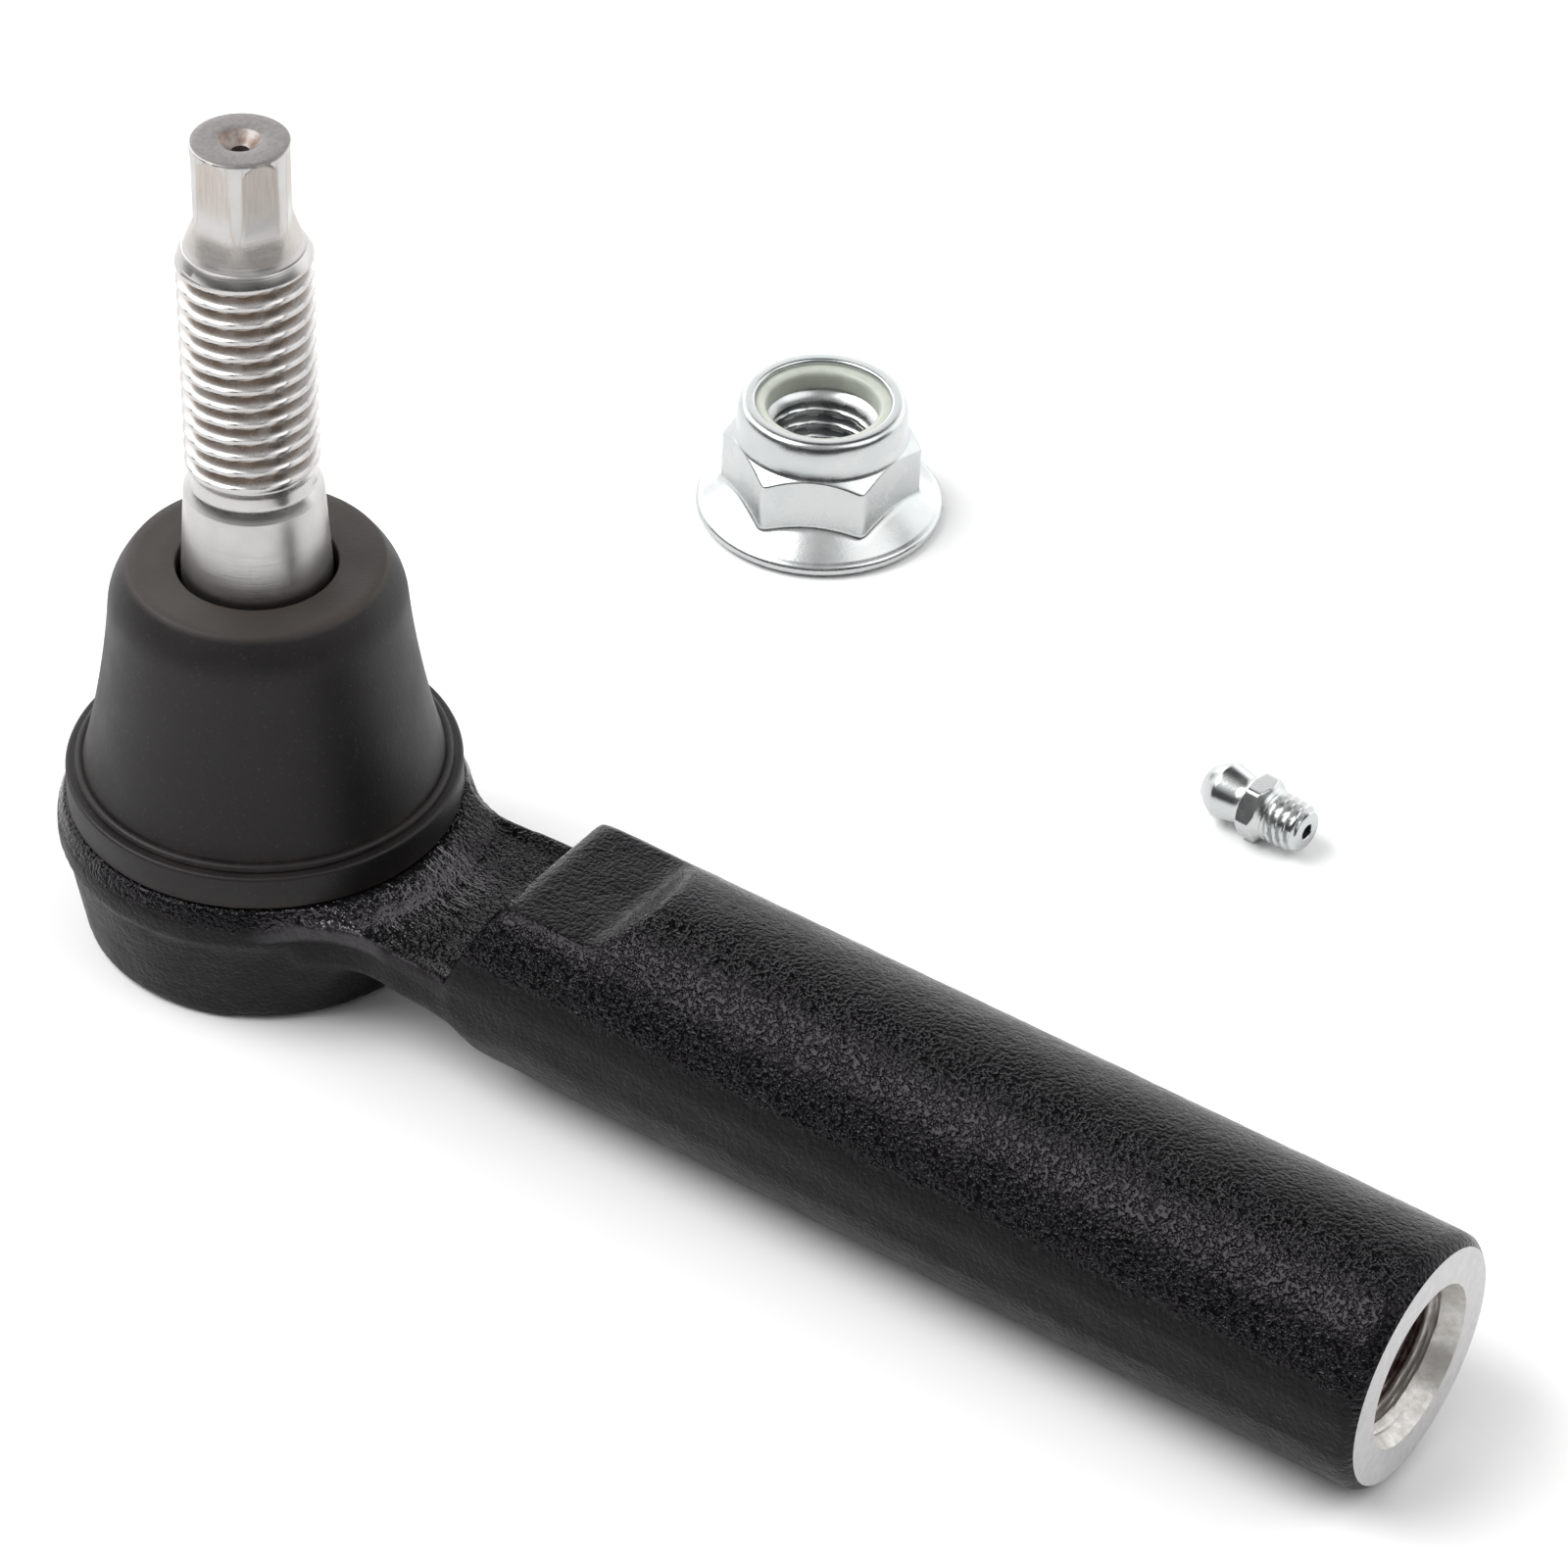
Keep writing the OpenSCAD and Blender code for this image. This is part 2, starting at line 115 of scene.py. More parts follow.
def shade(obj, sharp_deg):
    """Smooth shading that breaks at edges sharper than sharp_deg."""
    obj.data.shade_smooth()
    obj.data.set_sharp_from_angle(angle=math.radians(sharp_deg))


def grid_faces(rings, around, loop=False):
    """Quads between neighbouring rings of equal count, and a cap on each end unless they loop."""
    faces = []
    for i in range(rings if loop else rings - 1):
        a, b = i * around, ((i + 1) % rings) * around
        for k in range(around):
            n = (k + 1) % around
            faces.append((a + k, a + n, b + n, b + k))
    if not loop:
        faces += [tuple(reversed(range(around))), tuple(range((rings - 1) * around, rings * around))]
    return faces


def lathe(name, profile, around=128, shape=None, loop=False, sharp_deg=35):
    """A body of revolution about Z. profile is (radius, height) points, bottom first on the outside.

    shape(radius, height, angles) may give a ring radii of its own, one per angle. A loop is a closed
    section, such as a ring's.
    """
    angles = np.arange(around) * TAU / around
    rings = []
    for radius, height in profile:
        radii = radius if shape is None else shape(radius, height, angles)
        rings.append(np.stack([radii * np.cos(angles), radii * np.sin(angles), np.full(around, height)], 1))
    obj = add_object(name, np.concatenate(rings), grid_faces(len(rings), around, loop), sharp_deg)
    if loop:
        face_outwards(obj)
    return obj


def prism(name, outline, low, high, axis="z"):
    """A straight prism of an outline. Along z the outline is (x, y); along y it is (x, z)."""
    n = len(outline)
    verts = [(a, b, h) if axis == "z" else (a, h, b) for h in (low, high) for a, b in outline]
    faces = [tuple(reversed(range(n))), tuple(range(n, 2 * n))]
    faces += [(i, (i + 1) % n, n + (i + 1) % n, n + i) for i in range(n)]
    obj = add_object(name, verts, faces)
    face_outwards(obj)
    return obj


def face_outwards(obj):
    """Makes every face of a closed mesh look outwards."""
    work = bmesh.new()
    work.from_mesh(obj.data)
    bmesh.ops.recalc_face_normals(work, faces=work.faces)
    work.to_mesh(obj.data)
    work.free()


def transform(obj, matrix):
    """Moves a mesh's points, in millimetres, and leaves the object at the origin."""
    scaled = matrix.copy()
    scaled.translation = matrix.translation * MM
    obj.data.transform(scaled)


def along_x(obj, height):
    """Lays a lathed body's axis along +X at a height."""
    transform(obj, Matrix.Translation((0, 0, height)) @ Matrix.Rotation(math.radians(90), 4, "Y"))


def arc(centre, radius, start_deg, end_deg, steps):
    """Points of an arc, both ends included."""
    angles = np.radians(np.linspace(start_deg, end_deg, steps + 1))
    return [(centre[0] + radius * math.cos(a), centre[1] + radius * math.sin(a)) for a in angles]


def cubic(p0, p1, p2, p3, steps):
    """Points of a cubic curve, both ends included."""
    p = np.array([p0, p1, p2, p3], float)
    t = np.linspace(0, 1, steps + 1)[:, None]
    u = 1 - t
    points = u**3 * p[0] + 3 * u**2 * t * p[1] + 3 * u * t**2 * p[2] + t**3 * p[3]
    return [tuple(q) for q in points]


def densify(profile, step):
    """The same outline with no stretch longer than step."""
    out = [profile[0]]
    for a, b in zip(profile, profile[1:]):
        n = max(1, math.ceil(math.dist(a, b) / step))
        out += [(a[0] + (b[0] - a[0]) * i / n, a[1] + (b[1] - a[1]) * i / n) for i in range(1, n + 1)]
    return out


def smoothstep(low, high, x):
    """0 below low, 1 above high and a soft step between them; low may be the larger."""
    t = np.clip((np.asarray(x, float) - low) / (high - low), 0, 1)
    return t * t * (3 - 2 * t)


def ridge(x, middle, width):
    """1 at the middle, falling to nothing about two widths off it."""
    return np.exp(-(((x - middle) / width) ** 2))


def off_flat(angles, turn):
    """Angle from the middle of the nearest of six flats, the first of which faces turn."""
    return np.mod(angles - turn + TAU / 12, TAU / 6) - TAU / 12


def corner_radius(across_flats):
    """Radius of a hexagon's corners."""
    return across_flats / 2 / math.cos(TAU / 12)


def apply_modifiers(obj):
    """Turns an object's modifiers into its own mesh."""
    graph = bpy.context.evaluated_depsgraph_get()
    graph.update()
    shown = obj.evaluated_get(graph)
    mesh = bpy.data.meshes.new_from_object(shown, preserve_all_data_layers=True, depsgraph=graph)
    old = obj.data
    obj.modifiers.clear()
    obj.data = mesh
    bpy.data.meshes.remove(old)


def boolean(obj, other, operation):
    """Joins, cuts or trims obj by other, which is then deleted. Cut faces keep other's material."""
    cut = obj.modifiers.new("cut", "BOOLEAN")
    cut.object = other
    cut.operation = operation
    cut.solver = "EXACT"
    cut.material_mode = "TRANSFER"
    apply_modifiers(obj)
    bpy.data.objects.remove(other)


def join_all(objs, name):
    """One object from several meshes."""
    work = bmesh.new()
    for o in objs:
        work.from_mesh(o.data)
        bpy.data.objects.remove(o)
    mesh = bpy.data.meshes.new(name)
    work.to_mesh(mesh)
    work.free()
    return show(mesh)


def dress(obj, material, body, replaces=()):
    """Gives a piece its material if it has none and its body if one is given, and hides the CAD nodes it
    replaces.
    """
    if not obj.data.materials:
        obj.data.materials.append(material)
    if body:
        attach(obj, body)
    if replaces:
        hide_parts(*replaces)


# --- threads ---


def thread_cut(angles, height, pitch, crest_height, crest_angle, crest_share=0.2, root_share=0.2):
    """Depth of a right-hand thread's cut, from 0 on the crest to 1 at the root."""
    turn = (height - crest_height) / pitch - (angles - crest_angle) / TAU
    off_crest = 2 * np.abs(turn - np.round(turn))
    return smoothstep(crest_share, 1 - root_share, off_crest)


# --- materials ---


class Tree:
    """The node tree of a material or a world, with short calls for the nodes used in both."""

    def __init__(self, owner):
        owner.use_nodes = True
        self.nodes, self.links = owner.node_tree.nodes, owner.node_tree.links

    def link(self, source, target):
        self.links.new(source, target)

    def add(self, kind, **values):
        node = self.nodes.new(kind)
        for key, value in values.items():
            setattr(node, key, value)
        return node

    def remap(self, value, low, high, out_low=0.0, out_high=1.0, **settings):
        """A value brought from low..high to out_low..out_high and held there."""
        node = self.add("ShaderNodeMapRange", **settings)
        sockets = "From Min", "From Max", "To Min", "To Max"
        for socket, number in zip(sockets, (low, high, out_low, out_high)):
            node.inputs[socket].default_value = number
        self.link(value, node.inputs["Value"])
        return node.outputs["Result"]

    def math(self, operation, a, b):
        node = self.add("ShaderNodeMath", operation=operation)
        for socket, value in zip(node.inputs, (a, b)):
            if isinstance(value, (int, float)):
                socket.default_value = value
            else:
                self.link(value, socket)
        return node.outputs["Value"]

    def plus(self, a, b):
        return self.math("ADD", a, b)

    def times(self, a, b):
        return self.math("MULTIPLY", a, b)


class Finish(Tree):
    """A material, with short calls for what drives its shader."""

    def __init__(self, name, base, roughness, metallic=0.0):
        self.material = bpy.data.materials.new(name)
        super().__init__(self.material)
        self.shader = self.nodes["Principled BSDF"]
        self.set("Base Color", (*base, 1))
        self.set("Roughness", roughness)
        self.set("Metallic", metallic)
        self.place = self.nodes.new("ShaderNodeTexCoord").outputs["Object"]

    def set(self, socket, value):
        self.shader.inputs[socket].default_value = value

    def stretched(self, scale):
        """Object coordinates scaled by a different amount along each axis."""
        mapping = self.add("ShaderNodeMapping")
        mapping.inputs["Scale"].default_value = scale
        self.link(self.place, mapping.inputs["Vector"])
        return mapping.outputs["Vector"]

    def noise(self, scale, detail=2.0, roughness=0.5, vector=None):
        """Noise with features of about 1 / scale metres."""
        node = self.add("ShaderNodeTexNoise")
        node.inputs["Scale"].default_value = scale
        node.inputs["Detail"].default_value = detail
        node.inputs["Roughness"].default_value = roughness
        self.link(vector or self.place, node.inputs["Vector"])
        return node.outputs["Fac"]

    def mix(self, factor, a, b):
        """A colour between a and b; each is a colour or another node's output."""
        node = self.add("ShaderNodeMix", data_type="RGBA")
        for socket, value in zip((node.inputs[6], node.inputs[7]), (a, b)):
            if isinstance(value, tuple):
                socket.default_value = (*value, 1)
            else:
                self.link(value, socket)
        self.link(factor, node.inputs[0])
        return node.outputs[2]

    def attribute(self, name):
        """A number stored on the mesh's points."""
        return self.add("ShaderNodeAttribute", attribute_name=name).outputs["Fac"]

    def bump(self, height, distance_mm, strength=1.0, under=None):
        node = self.add("ShaderNodeBump")
        node.inputs["Strength"].default_value = strength
        node.inputs["Distance"].default_value = distance_mm * MM
        self.link(height, node.inputs["Height"])
        if under is not None:
            self.link(under, node.inputs["Normal"])
        return node.outputs["Normal"]

    def drive(self, socket, source):
        self.link(source, self.shader.inputs[socket])

    def mottle(self, cloud, colours, roughness, span=(0.35, 0.65)):
        """Drives colour and roughness from one noise; the colours change over span."""
        self.drive("Base Color", self.mix(self.remap(cloud, *span), *colours))
        self.drive("Roughness", self.remap(cloud, 0.3, 0.7, *roughness))


def forging_paint():
    """Gloss black paint over a scaled, pitted forging; duller, calmer or wetter where the mesh says so."""
    m = Finish("forging_paint", (0.004, 0.004, 0.0044), 0.3)
    m.set("Specular Tint", (1.0, 0.94, 1.0, 1.0))
    ragged = m.times(m.remap(m.noise(1100, 3, 0.6), 0.3, 0.7, -1.0, 1.0), 0.5)
    dull = m.remap(m.plus(m.attribute("dull"), ragged), 0.42, 0.58)
    blotch = m.noise(90, 3)
    colour = m.mix(m.remap(blotch, 0.35, 0.65), (0.0024, 0.0023, 0.0026), (0.0042, 0.0039, 0.0045))
    colour = m.mix(dull, colour, (0.0048, 0.0045, 0.0048))
    specks = m.remap(m.noise(1500, 1), 0.79, 0.82, 0, 0.35)
    # painted highlight: light grey speckles along the edge of the dull trimmed zones, for the glints on that
    # rough edge
    rim = m.times(dull, m.math("SUBTRACT", 1.0, dull))
    rim = m.times(rim, m.remap(m.noise(1900, 2), 0.45, 0.6, 0, 3.0))
    m.drive("Base Color", m.mix(rim, m.mix(specks, colour, (0.12, 0.11, 0.1)), (0.03, 0.028, 0.028)))
    calm, wet = m.attribute("calm"), m.attribute("wet")
    m.drive("Specular IOR Level", m.plus(m.times(wet, 0.4), 0.165))
    gloss = m.plus(m.remap(m.noise(260, 4, 0.6), 0.3, 0.7, 0.06, 0.2), m.times(calm, 0.16))
    gloss = m.math("SUBTRACT", gloss, m.times(wet, 0.04))
    m.drive("Roughness", m.plus(gloss, m.times(dull, 0.3)))
    quiet = m.plus(m.times(dull, 0.6), m.times(calm, 0.55))
    quiet = m.plus(quiet, m.times(wet, 0.6))
    relief = m.math("SUBTRACT", 1.0, m.math("MINIMUM", quiet, 0.7))
    pebbles = m.times(m.remap(m.noise(2050, 1, 0.5), 0.32, 0.58), relief)
    swells = m.bump(m.times(m.noise(980, 2, 0.5), relief), 0.16, 0.8, m.bump(m.noise(380, 2), 0.08, 0.6))
    lines = m.times(m.noise(1, 3, 0.6, m.stretched((90, 900, 900))), dull)
    wrinkles = m.times(m.noise(1, 3, 0.55, m.stretched((300, 1000, 500))), wet)
    under = m.bump(wrinkles, 0.5, 0.9, m.bump(lines, 0.12, 0.7, swells))
    m.drive("Normal", m.bump(pebbles, 0.115, 1.0, under))
    return m.material


def turned_steel():
    """Bright turned steel: fine rings, oil film in the thread's roots, milled streaks on the tip's flats."""
    m = Finish("turned_steel", (0.55, 0.54, 0.53), 0.28, 1.0)
    rings = m.noise(1.0, 2, 0.6, m.stretched((50, 50, 9000)))
    streaks = m.noise(1.0, 2, 0.6, m.stretched((7000, 7000, 260)))
    film = m.noise(420, 4, 0.6)
    flat = m.attribute("flat")
    satin = m.attribute("satin")
    root_oil_and_bore_shade = m.times(m.attribute("root_oil_and_bore_shade"), m.remap(film, 0.35, 0.6, 0.55, 1.0))
    worn = m.mix(m.remap(film, 0.42, 0.75, 0, 0.4), (0.53, 0.52, 0.515), (0.45, 0.435, 0.42))
    milled = m.mix(m.remap(streaks, 0.35, 0.65), (0.55, 0.51, 0.475), (0.46, 0.42, 0.39))
    m.drive("Base Color", m.mix(root_oil_and_bore_shade, m.mix(flat, worn, milled), (0.3, 0.255, 0.22)))
    soft = m.plus(m.times(flat, 0.14), m.times(satin, 0.06))
    m.drive("Roughness", m.plus(m.remap(film, 0.3, 0.7, 0.24, 0.3), soft))
    depth = m.times(rings, m.plus(0.2, satin))
    m.drive("Normal", m.bump(m.times(streaks, flat), 0.02, 0.6, m.bump(depth, 0.022, 0.8)))
    return m.material


def cut_steel():
    """The stud's sawn and ground tip: matt grey, mottled."""
    m = Finish("cut_steel", (0.33, 0.32, 0.315), 0.5, 1.0)
    grains = m.noise(1900, 5, 0.7)
    m.mottle(grains, ((0.24, 0.228, 0.223), (0.34, 0.327, 0.323)), (0.42, 0.6))
    m.drive("Normal", m.bump(grains, 0.03, 0.6))
    return m.material


def drilled_steel():
    """Centre drilling: darker steel with a little rust at the bottom."""
    m = Finish("drilled_steel", (0.33, 0.3, 0.28), 0.55, 1.0)
    stain = m.noise(700, 4, 0.6)
    m.drive("Base Color", m.mix(m.remap(stain, 0.4, 0.62), (0.34, 0.315, 0.3), (0.24, 0.17, 0.14)))
    m.drive("Normal", m.bump(stain, 0.02, 0.5))
    return m.material


def faced_steel():
    """The barrel's faced end: bare, pale, with the tool's rings around the bore."""
    m = Finish("faced_steel", (0.6, 0.59, 0.6), 0.38, 0.55)
    grain = m.noise(1200, 4, 0.6)
    rings = m.add("ShaderNodeTexWave", wave_type="RINGS", rings_direction="X")
    rings.inputs["Scale"].default_value = 1500
    rings.inputs["Distortion"].default_value = 1.5
    shift = m.add("ShaderNodeMapping")
    shift.inputs["Location"].default_value = (0, 0, -BARREL_R * MM)
    m.link(m.place, shift.inputs["Vector"])
    m.link(shift.outputs["Vector"], rings.inputs["Vector"])
    m.mottle(grain, ((0.5, 0.495, 0.5), (0.62, 0.61, 0.615)), (0.42, 0.54), (0.3, 0.7))
    m.drive("Normal", m.bump(rings.outputs["Fac"], 0.006, 0.4))
    return m.material


def tapped_steel():
    """Bare steel inside the barrel: bright crests and rust-brown oil in the roots, and painted shade deeper in
    the bore, where the crests are darkened too.
    """
    m = Finish("tapped_steel", (0.5, 0.48, 0.46), 0.4, 1.0)
    film = m.noise(700, 5, 0.65)
    root_oil_and_bore_shade = m.times(m.attribute("root_oil_and_bore_shade"), m.remap(film, 0.3, 0.6, 0.6, 1.0))
    pale = m.mix(m.remap(film, 0.35, 0.65), (0.72, 0.71, 0.69), (0.55, 0.53, 0.5))
    m.drive("Base Color", m.mix(root_oil_and_bore_shade, pale, (0.13, 0.07, 0.055)))
    m.drive("Roughness", m.remap(film, 0.3, 0.7, 0.42, 0.58))
    m.drive("Normal", m.bump(m.noise(2600, 3, 0.6), 0.05, 0.7))
    return m.material


def boot_rubber():
    """Moulded rubber: soft sheen, faint flow marks, a lighter and browner top face, and brown dust in the
    creases.
    """
    m = Finish("boot_rubber", (0.01, 0.0095, 0.009), 0.5)
    m.set("Specular IOR Level", 0.33)
    m.set("Specular Tint", (1.0, 0.96, 0.98, 1.0))
    cloud = m.noise(110, 4, 0.6)
    dust = m.noise(420, 5, 0.65)
    drifts = m.remap(m.noise(55, 2), 0.4, 0.6, 0.1, 0.8)
    lying = m.times(m.remap(dust, 0.38, 0.62, 0.1, 1.0), drifts)
    crease = m.times(m.attribute("crease"), lying)
    black = m.mix(m.remap(cloud, 0.3, 0.7), (0.0062, 0.0056, 0.0057), (0.0105, 0.0093, 0.009))
    # the top face is painted several times lighter and browner than the bell
    top = m.mix(m.attribute("top_face"), black, (0.038, 0.0325, 0.0285))
    dusty = m.mix(m.remap(m.noise(2600, 2), 0.62, 0.75, 0, 0.3), top, (0.06, 0.052, 0.046))
    m.drive("Base Color", m.mix(crease, dusty, (0.05, 0.034, 0.024)))
    m.drive("Roughness", m.remap(cloud, 0.3, 0.7, 0.44, 0.58))
    grain = m.bump(m.noise(2200, 3), 0.035, 0.6)
    m.drive("Normal", m.bump(m.noise(190, 2), 0.12, 0.25, grain))
    return m.material


def zinc_plate():
    """Bright clear zinc: a cool, slightly soft mirror with faint blotches from the bath."""
    m = Finish("zinc_plate", (0.7, 0.72, 0.72), 0.27, 1.0)
    bath = m.noise(210, 3, 0.6)
    m.mottle(bath, ((0.51, 0.535, 0.54), (0.58, 0.595, 0.585)), (0.22, 0.32))
    ripple = m.bump(m.noise(380, 3), 0.03, 0.35)
    m.drive("Normal", m.bump(m.noise(3200, 3, 0.6), 0.012, 0.8, ripple))
    return m.material


def mottled(base, patches, colours, roughness, grain, relief, span=(0.35, 0.65)):
    """A finish of two soft-edged tones with a fine grain. patches and grain are noises, relief is a bump."""
    m = Finish(*base)
    m.mottle(m.noise(*patches), colours, roughness, span)
    m.drive("Normal", m.bump(m.noise(*grain), *relief))
    return m


def nylon():
    """Grey-green nylon, slightly translucent."""
    m = mottled(("nylon", (0.5, 0.54, 0.47), 0.36), (500, 3), ((0.47, 0.5, 0.44), (0.54, 0.57, 0.5)),
                (0.3, 0.42), (900, 2), (0.02, 0.3))
    m.set("Subsurface Weight", 0.15)
    m.set("Subsurface Radius", (0.001, 0.001, 0.0008))
    return m.material


def floor_paper():
    """White studio paper."""
    m = Finish("floor_paper", (0.9, 0.9, 0.9), 0.9)
    m.drive("Base Color", m.mix(m.noise(8, 2), (0.96, 0.96, 0.96), (0.975, 0.975, 0.975)))
    return m.material


PAINT = forging_paint()
TURNED = turned_steel()
CUT = cut_steel()
DRILLED = drilled_steel()
FACED = faced_steel()
TAPPED = tapped_steel()
RUBBER = boot_rubber()
ZINC = zinc_plate()
NYLON = nylon()
ACETAL = mottled(("acetal", (0.74, 0.72, 0.65), 0.35), (240, 4, 0.6),  # white, with a smear of grease
                 ((0.76, 0.74, 0.67), (0.6, 0.52, 0.38)), (0.28, 0.5), (1200, 2), (0.02, 0.3),
                 (0.4, 0.65)).material
SPRING = mottled(("spring_steel", (0.3, 0.31, 0.34), 0.32, 1.0), (330, 3),  # blued
                 ((0.2, 0.22, 0.27), (0.36, 0.34, 0.33)), (0.26, 0.42), (1600, 2), (0.01, 0.4)).material
SEAL = mottled(("seal_rubber", (0.02, 0.02, 0.02), 0.6), (600, 3),
               ((0.015, 0.015, 0.015), (0.028, 0.027, 0.026)), (0.5, 0.7), (2000, 2), (0.02, 0.4)).material


def store(obj, name, values):
    """Keeps one number per point on the mesh for a material to read."""
    layer = obj.data.attributes.new(name, "FLOAT", "POINT")
    layer.data.foreach_set("value", np.asarray(values, np.float32))


def read(obj, what):
    """Three numbers of each of a mesh's points: their place ("co") or their normal ("normal")."""
    flat = np.empty(len(obj.data.vertices) * 3)
    obj.data.vertices.foreach_get(what, flat)
    return flat.reshape(-1, 3)


def points_of(obj):
    """A mesh's points in millimetres."""
    return read(obj, "co") / MM


def move_points(obj, points_mm):
    """Puts a mesh's points where points_mm says."""
    obj.data.vertices.foreach_set("co", (np.asarray(points_mm) * MM).ravel())
    obj.data.update()


# --- forging ---

PARTING_Z = 13.2  # height of the parting plane
FLASH_H = 2.8  # height of the trimmed strip round the socket
SHOULDER_Z = 16.5  # shoulder that the boot stands on
NECK_R = 16.4  # neck inside the boot
BASE_R = 19.3  # outer radius of the socket's flat base
WEB_LOW, WEB_TOP = 9.0, 15.0  # web between socket and barrel
WEB_SINK = 0.55  # how far the web's top lies below its trimmed edge
WEB_HALF = 12.4  # half the web's narrowest width
WEB_FILLET = 11.0  # plan radius between web and socket
FILLET_Y = WEB_HALF + WEB_FILLET  # the fillet's centre
FILLET_X = math.sqrt((SOCKET_R + WEB_FILLET) ** 2 - FILLET_Y**2)
BARREL_START = 34.4  # start of the barrel's shoulder
SHOULDER_RUN = 3.6  # how far the shoulder leans
PAD_Z, PAD_END, PAD_RAMP = 24.4, 49.5, 3.6  # flat on the barrel's top
FLASH_FLAT = 13.5  # distance from axis to the barrel's trimmed sides
END_FACE_R = 12.65  # radius of the bare end face
MOUTH_R = 8.8  # mouth of the countersink
BORE_R = 7.25  # crests of the barrel's thread
BORE_DEPTH = 70.0  # guessed
DRILL_POINT = 4.5  # room for the drill's point below the bore
SINK_DEPTH = 3.3  # how deep the countersink runs into the thread
VOXEL = 0.42  # size of the remeshed forging's faces


def socket_blank():
    """The socket without its chamber, with the trimmed strip round it and a fillet up to its shoulder."""
    strip_low, strip_high = PARTING_Z - FLASH_H / 2 - 0.1, PARTING_Z + FLASH_H / 2 - 0.1
    return lathe("socket", [
        (AXIS_R, 0), (BASE_R, 0), (BASE_R + 0.45, 0.15), (BASE_R + 0.75, 0.5), (BASE_R + 0.9, 1.1),
        (SOCKET_R - 0.55, strip_low - 0.1), (SOCKET_R, strip_low + 0.15), (SOCKET_R, strip_high - 0.1),
        (SOCKET_R - 0.3, strip_high + 0.15), (SOCKET_R - 0.35, strip_high + 0.6),
        (SOCKET_R - 0.85, SHOULDER_Z), (NECK_R, SHOULDER_Z),
        (NECK_R, SHOULDER_Z + 5), (NECK_R - 1.2, SHOULDER_Z + 6.1), (NECK_R - 1.8, NECK_TOP),
        (AXIS_R, NECK_TOP)], around=160)


def web_outline(shrink=0.0):
    """Plan of the web: straight sides that run into the socket through a fillet."""
    touch = math.degrees(math.atan2(FILLET_Y, FILLET_X))
    side = [(BARREL_START + 5, WEB_HALF + 1 - shrink), (BARREL_START - 2, WEB_HALF + 0.6 - shrink)]
    side += arc((FILLET_X, FILLET_Y), WEB_FILLET + shrink, 270, 180 + touch, 14)
    return side + [(x, -y) for x, y in reversed(side)]


def web_blank():
    """The web: a flat plate inside its trimmed edge, and the fillet from it up to the socket's shoulder; its
    top and bottom are sunk later.
    """
    plate = prism("web", web_outline(), WEB_LOW, WEB_TOP)
    r = SOCKET_R
    skirt = [(AXIS_R, 2), (r - 2, 2)] + cubic((r - 1.4, 5), (r - 0.2, 8), (r + 1.2, 9), (r + 4.2, 9.6), 6)
    skirt += cubic((r + 6, 14.2), (r + 2.6, 14.5), (r + 1.4, 16), (r - 0.6, 16.45), 10)
    fillet = lathe("web_fillet", skirt + [(AXIS_R, 16.4)], around=160)
    boolean(fillet, prism("sector", web_outline(1.0), 0, 20), "INTERSECT")
    return [plate, fillet]


def barrel_blank():
    """The barrel: a round bar with trimmed sides, leaning shoulders and the flat on its top."""
    r, start, end = BARREL_R, BARREL_START, BARREL_END
    top_x = start + SHOULDER_RUN
    profile = [(AXIS_R, start - 1), (r, start - 1), (r, end - 2)]
    profile += cubic((r, end - 2), (r, end - 0.6), (END_FACE_R + 0.5, end - 0.5),
                     (END_FACE_R, end), 8)[1:]
    profile += [(END_FACE_R - 1.2, end + 1.1), (END_FACE_R - 4, end + 2)]
    profile += [(AXIS_R, end + 2)]
    bar = lathe("barrel", profile, around=192)
    along_x(bar, r)
    ramp_x = PAD_END + PAD_RAMP
    side = [(start, WEB_LOW), (start + 0.5, WEB_LOW - 1.5), (top_x - 0.7, 1.2),
            (top_x + 0.6, -1), (end + 3, -1), (end + 3, 2 * r + 1),
            (ramp_x + 1.4, 2 * r + 1), (ramp_x - 0.2, 2 * r - 0.35)]
    side += cubic((PAD_END + 1.6, PAD_Z + 1.1), (PAD_END + 0.9, PAD_Z + 0.35), (PAD_END + 0.2, PAD_Z),
                  (PAD_END - 1.2, PAD_Z), 5)
    side += cubic((top_x + 2, PAD_Z), (top_x + 0.5, PAD_Z), (top_x - 0.4, PAD_Z - 0.6),
                  (top_x - 1.2, PAD_Z - 3), 7)
    side += [(start + 0.5, WEB_TOP + 1.5), (start, WEB_TOP)]
    boolean(bar, prism("side_view", side, -r - 1, r + 1, axis="y"), "INTERSECT")
    past_end = end + 5
    plan = [(0, -FLASH_FLAT), (past_end, -FLASH_FLAT), (past_end, FLASH_FLAT), (0, FLASH_FLAT)]
    boolean(bar, prism("plan_view", plan, -5, 2 * r + 5), "INTERSECT")
    return bar


def web_half(x):
    """Half the web's width at each x, past the socket."""
    off = np.clip(FILLET_X - x, 0, WEB_FILLET)
    return FILLET_Y - np.sqrt(WEB_FILLET**2 - off**2)


def sink_web(points, normals):
    """Lowers the web's top and raises its underside, inside its edge, towards the barrel's foot."""
    x, y, z = points.T
    inside = smoothstep(0.2, 1.8, web_half(x) - np.abs(y)) * (x < BARREL_START + 0.25)
    inside *= smoothstep(SOCKET_R + 1.5, SOCKET_R + 4.5, np.hypot(x, y))
    top = inside * smoothstep(0.5, 0.8, normals[:, 2]) * (z > WEB_TOP - 1) * (z < WEB_TOP + 1.5)
    under = inside * smoothstep(-0.5, -0.8, normals[:, 2]) * (z > WEB_LOW - 1.5) * (z < WEB_LOW + 1)
    return WEB_SINK * (under - top) - 0.35 * ridge(x, BARREL_START - 0.4, 0.6) * top


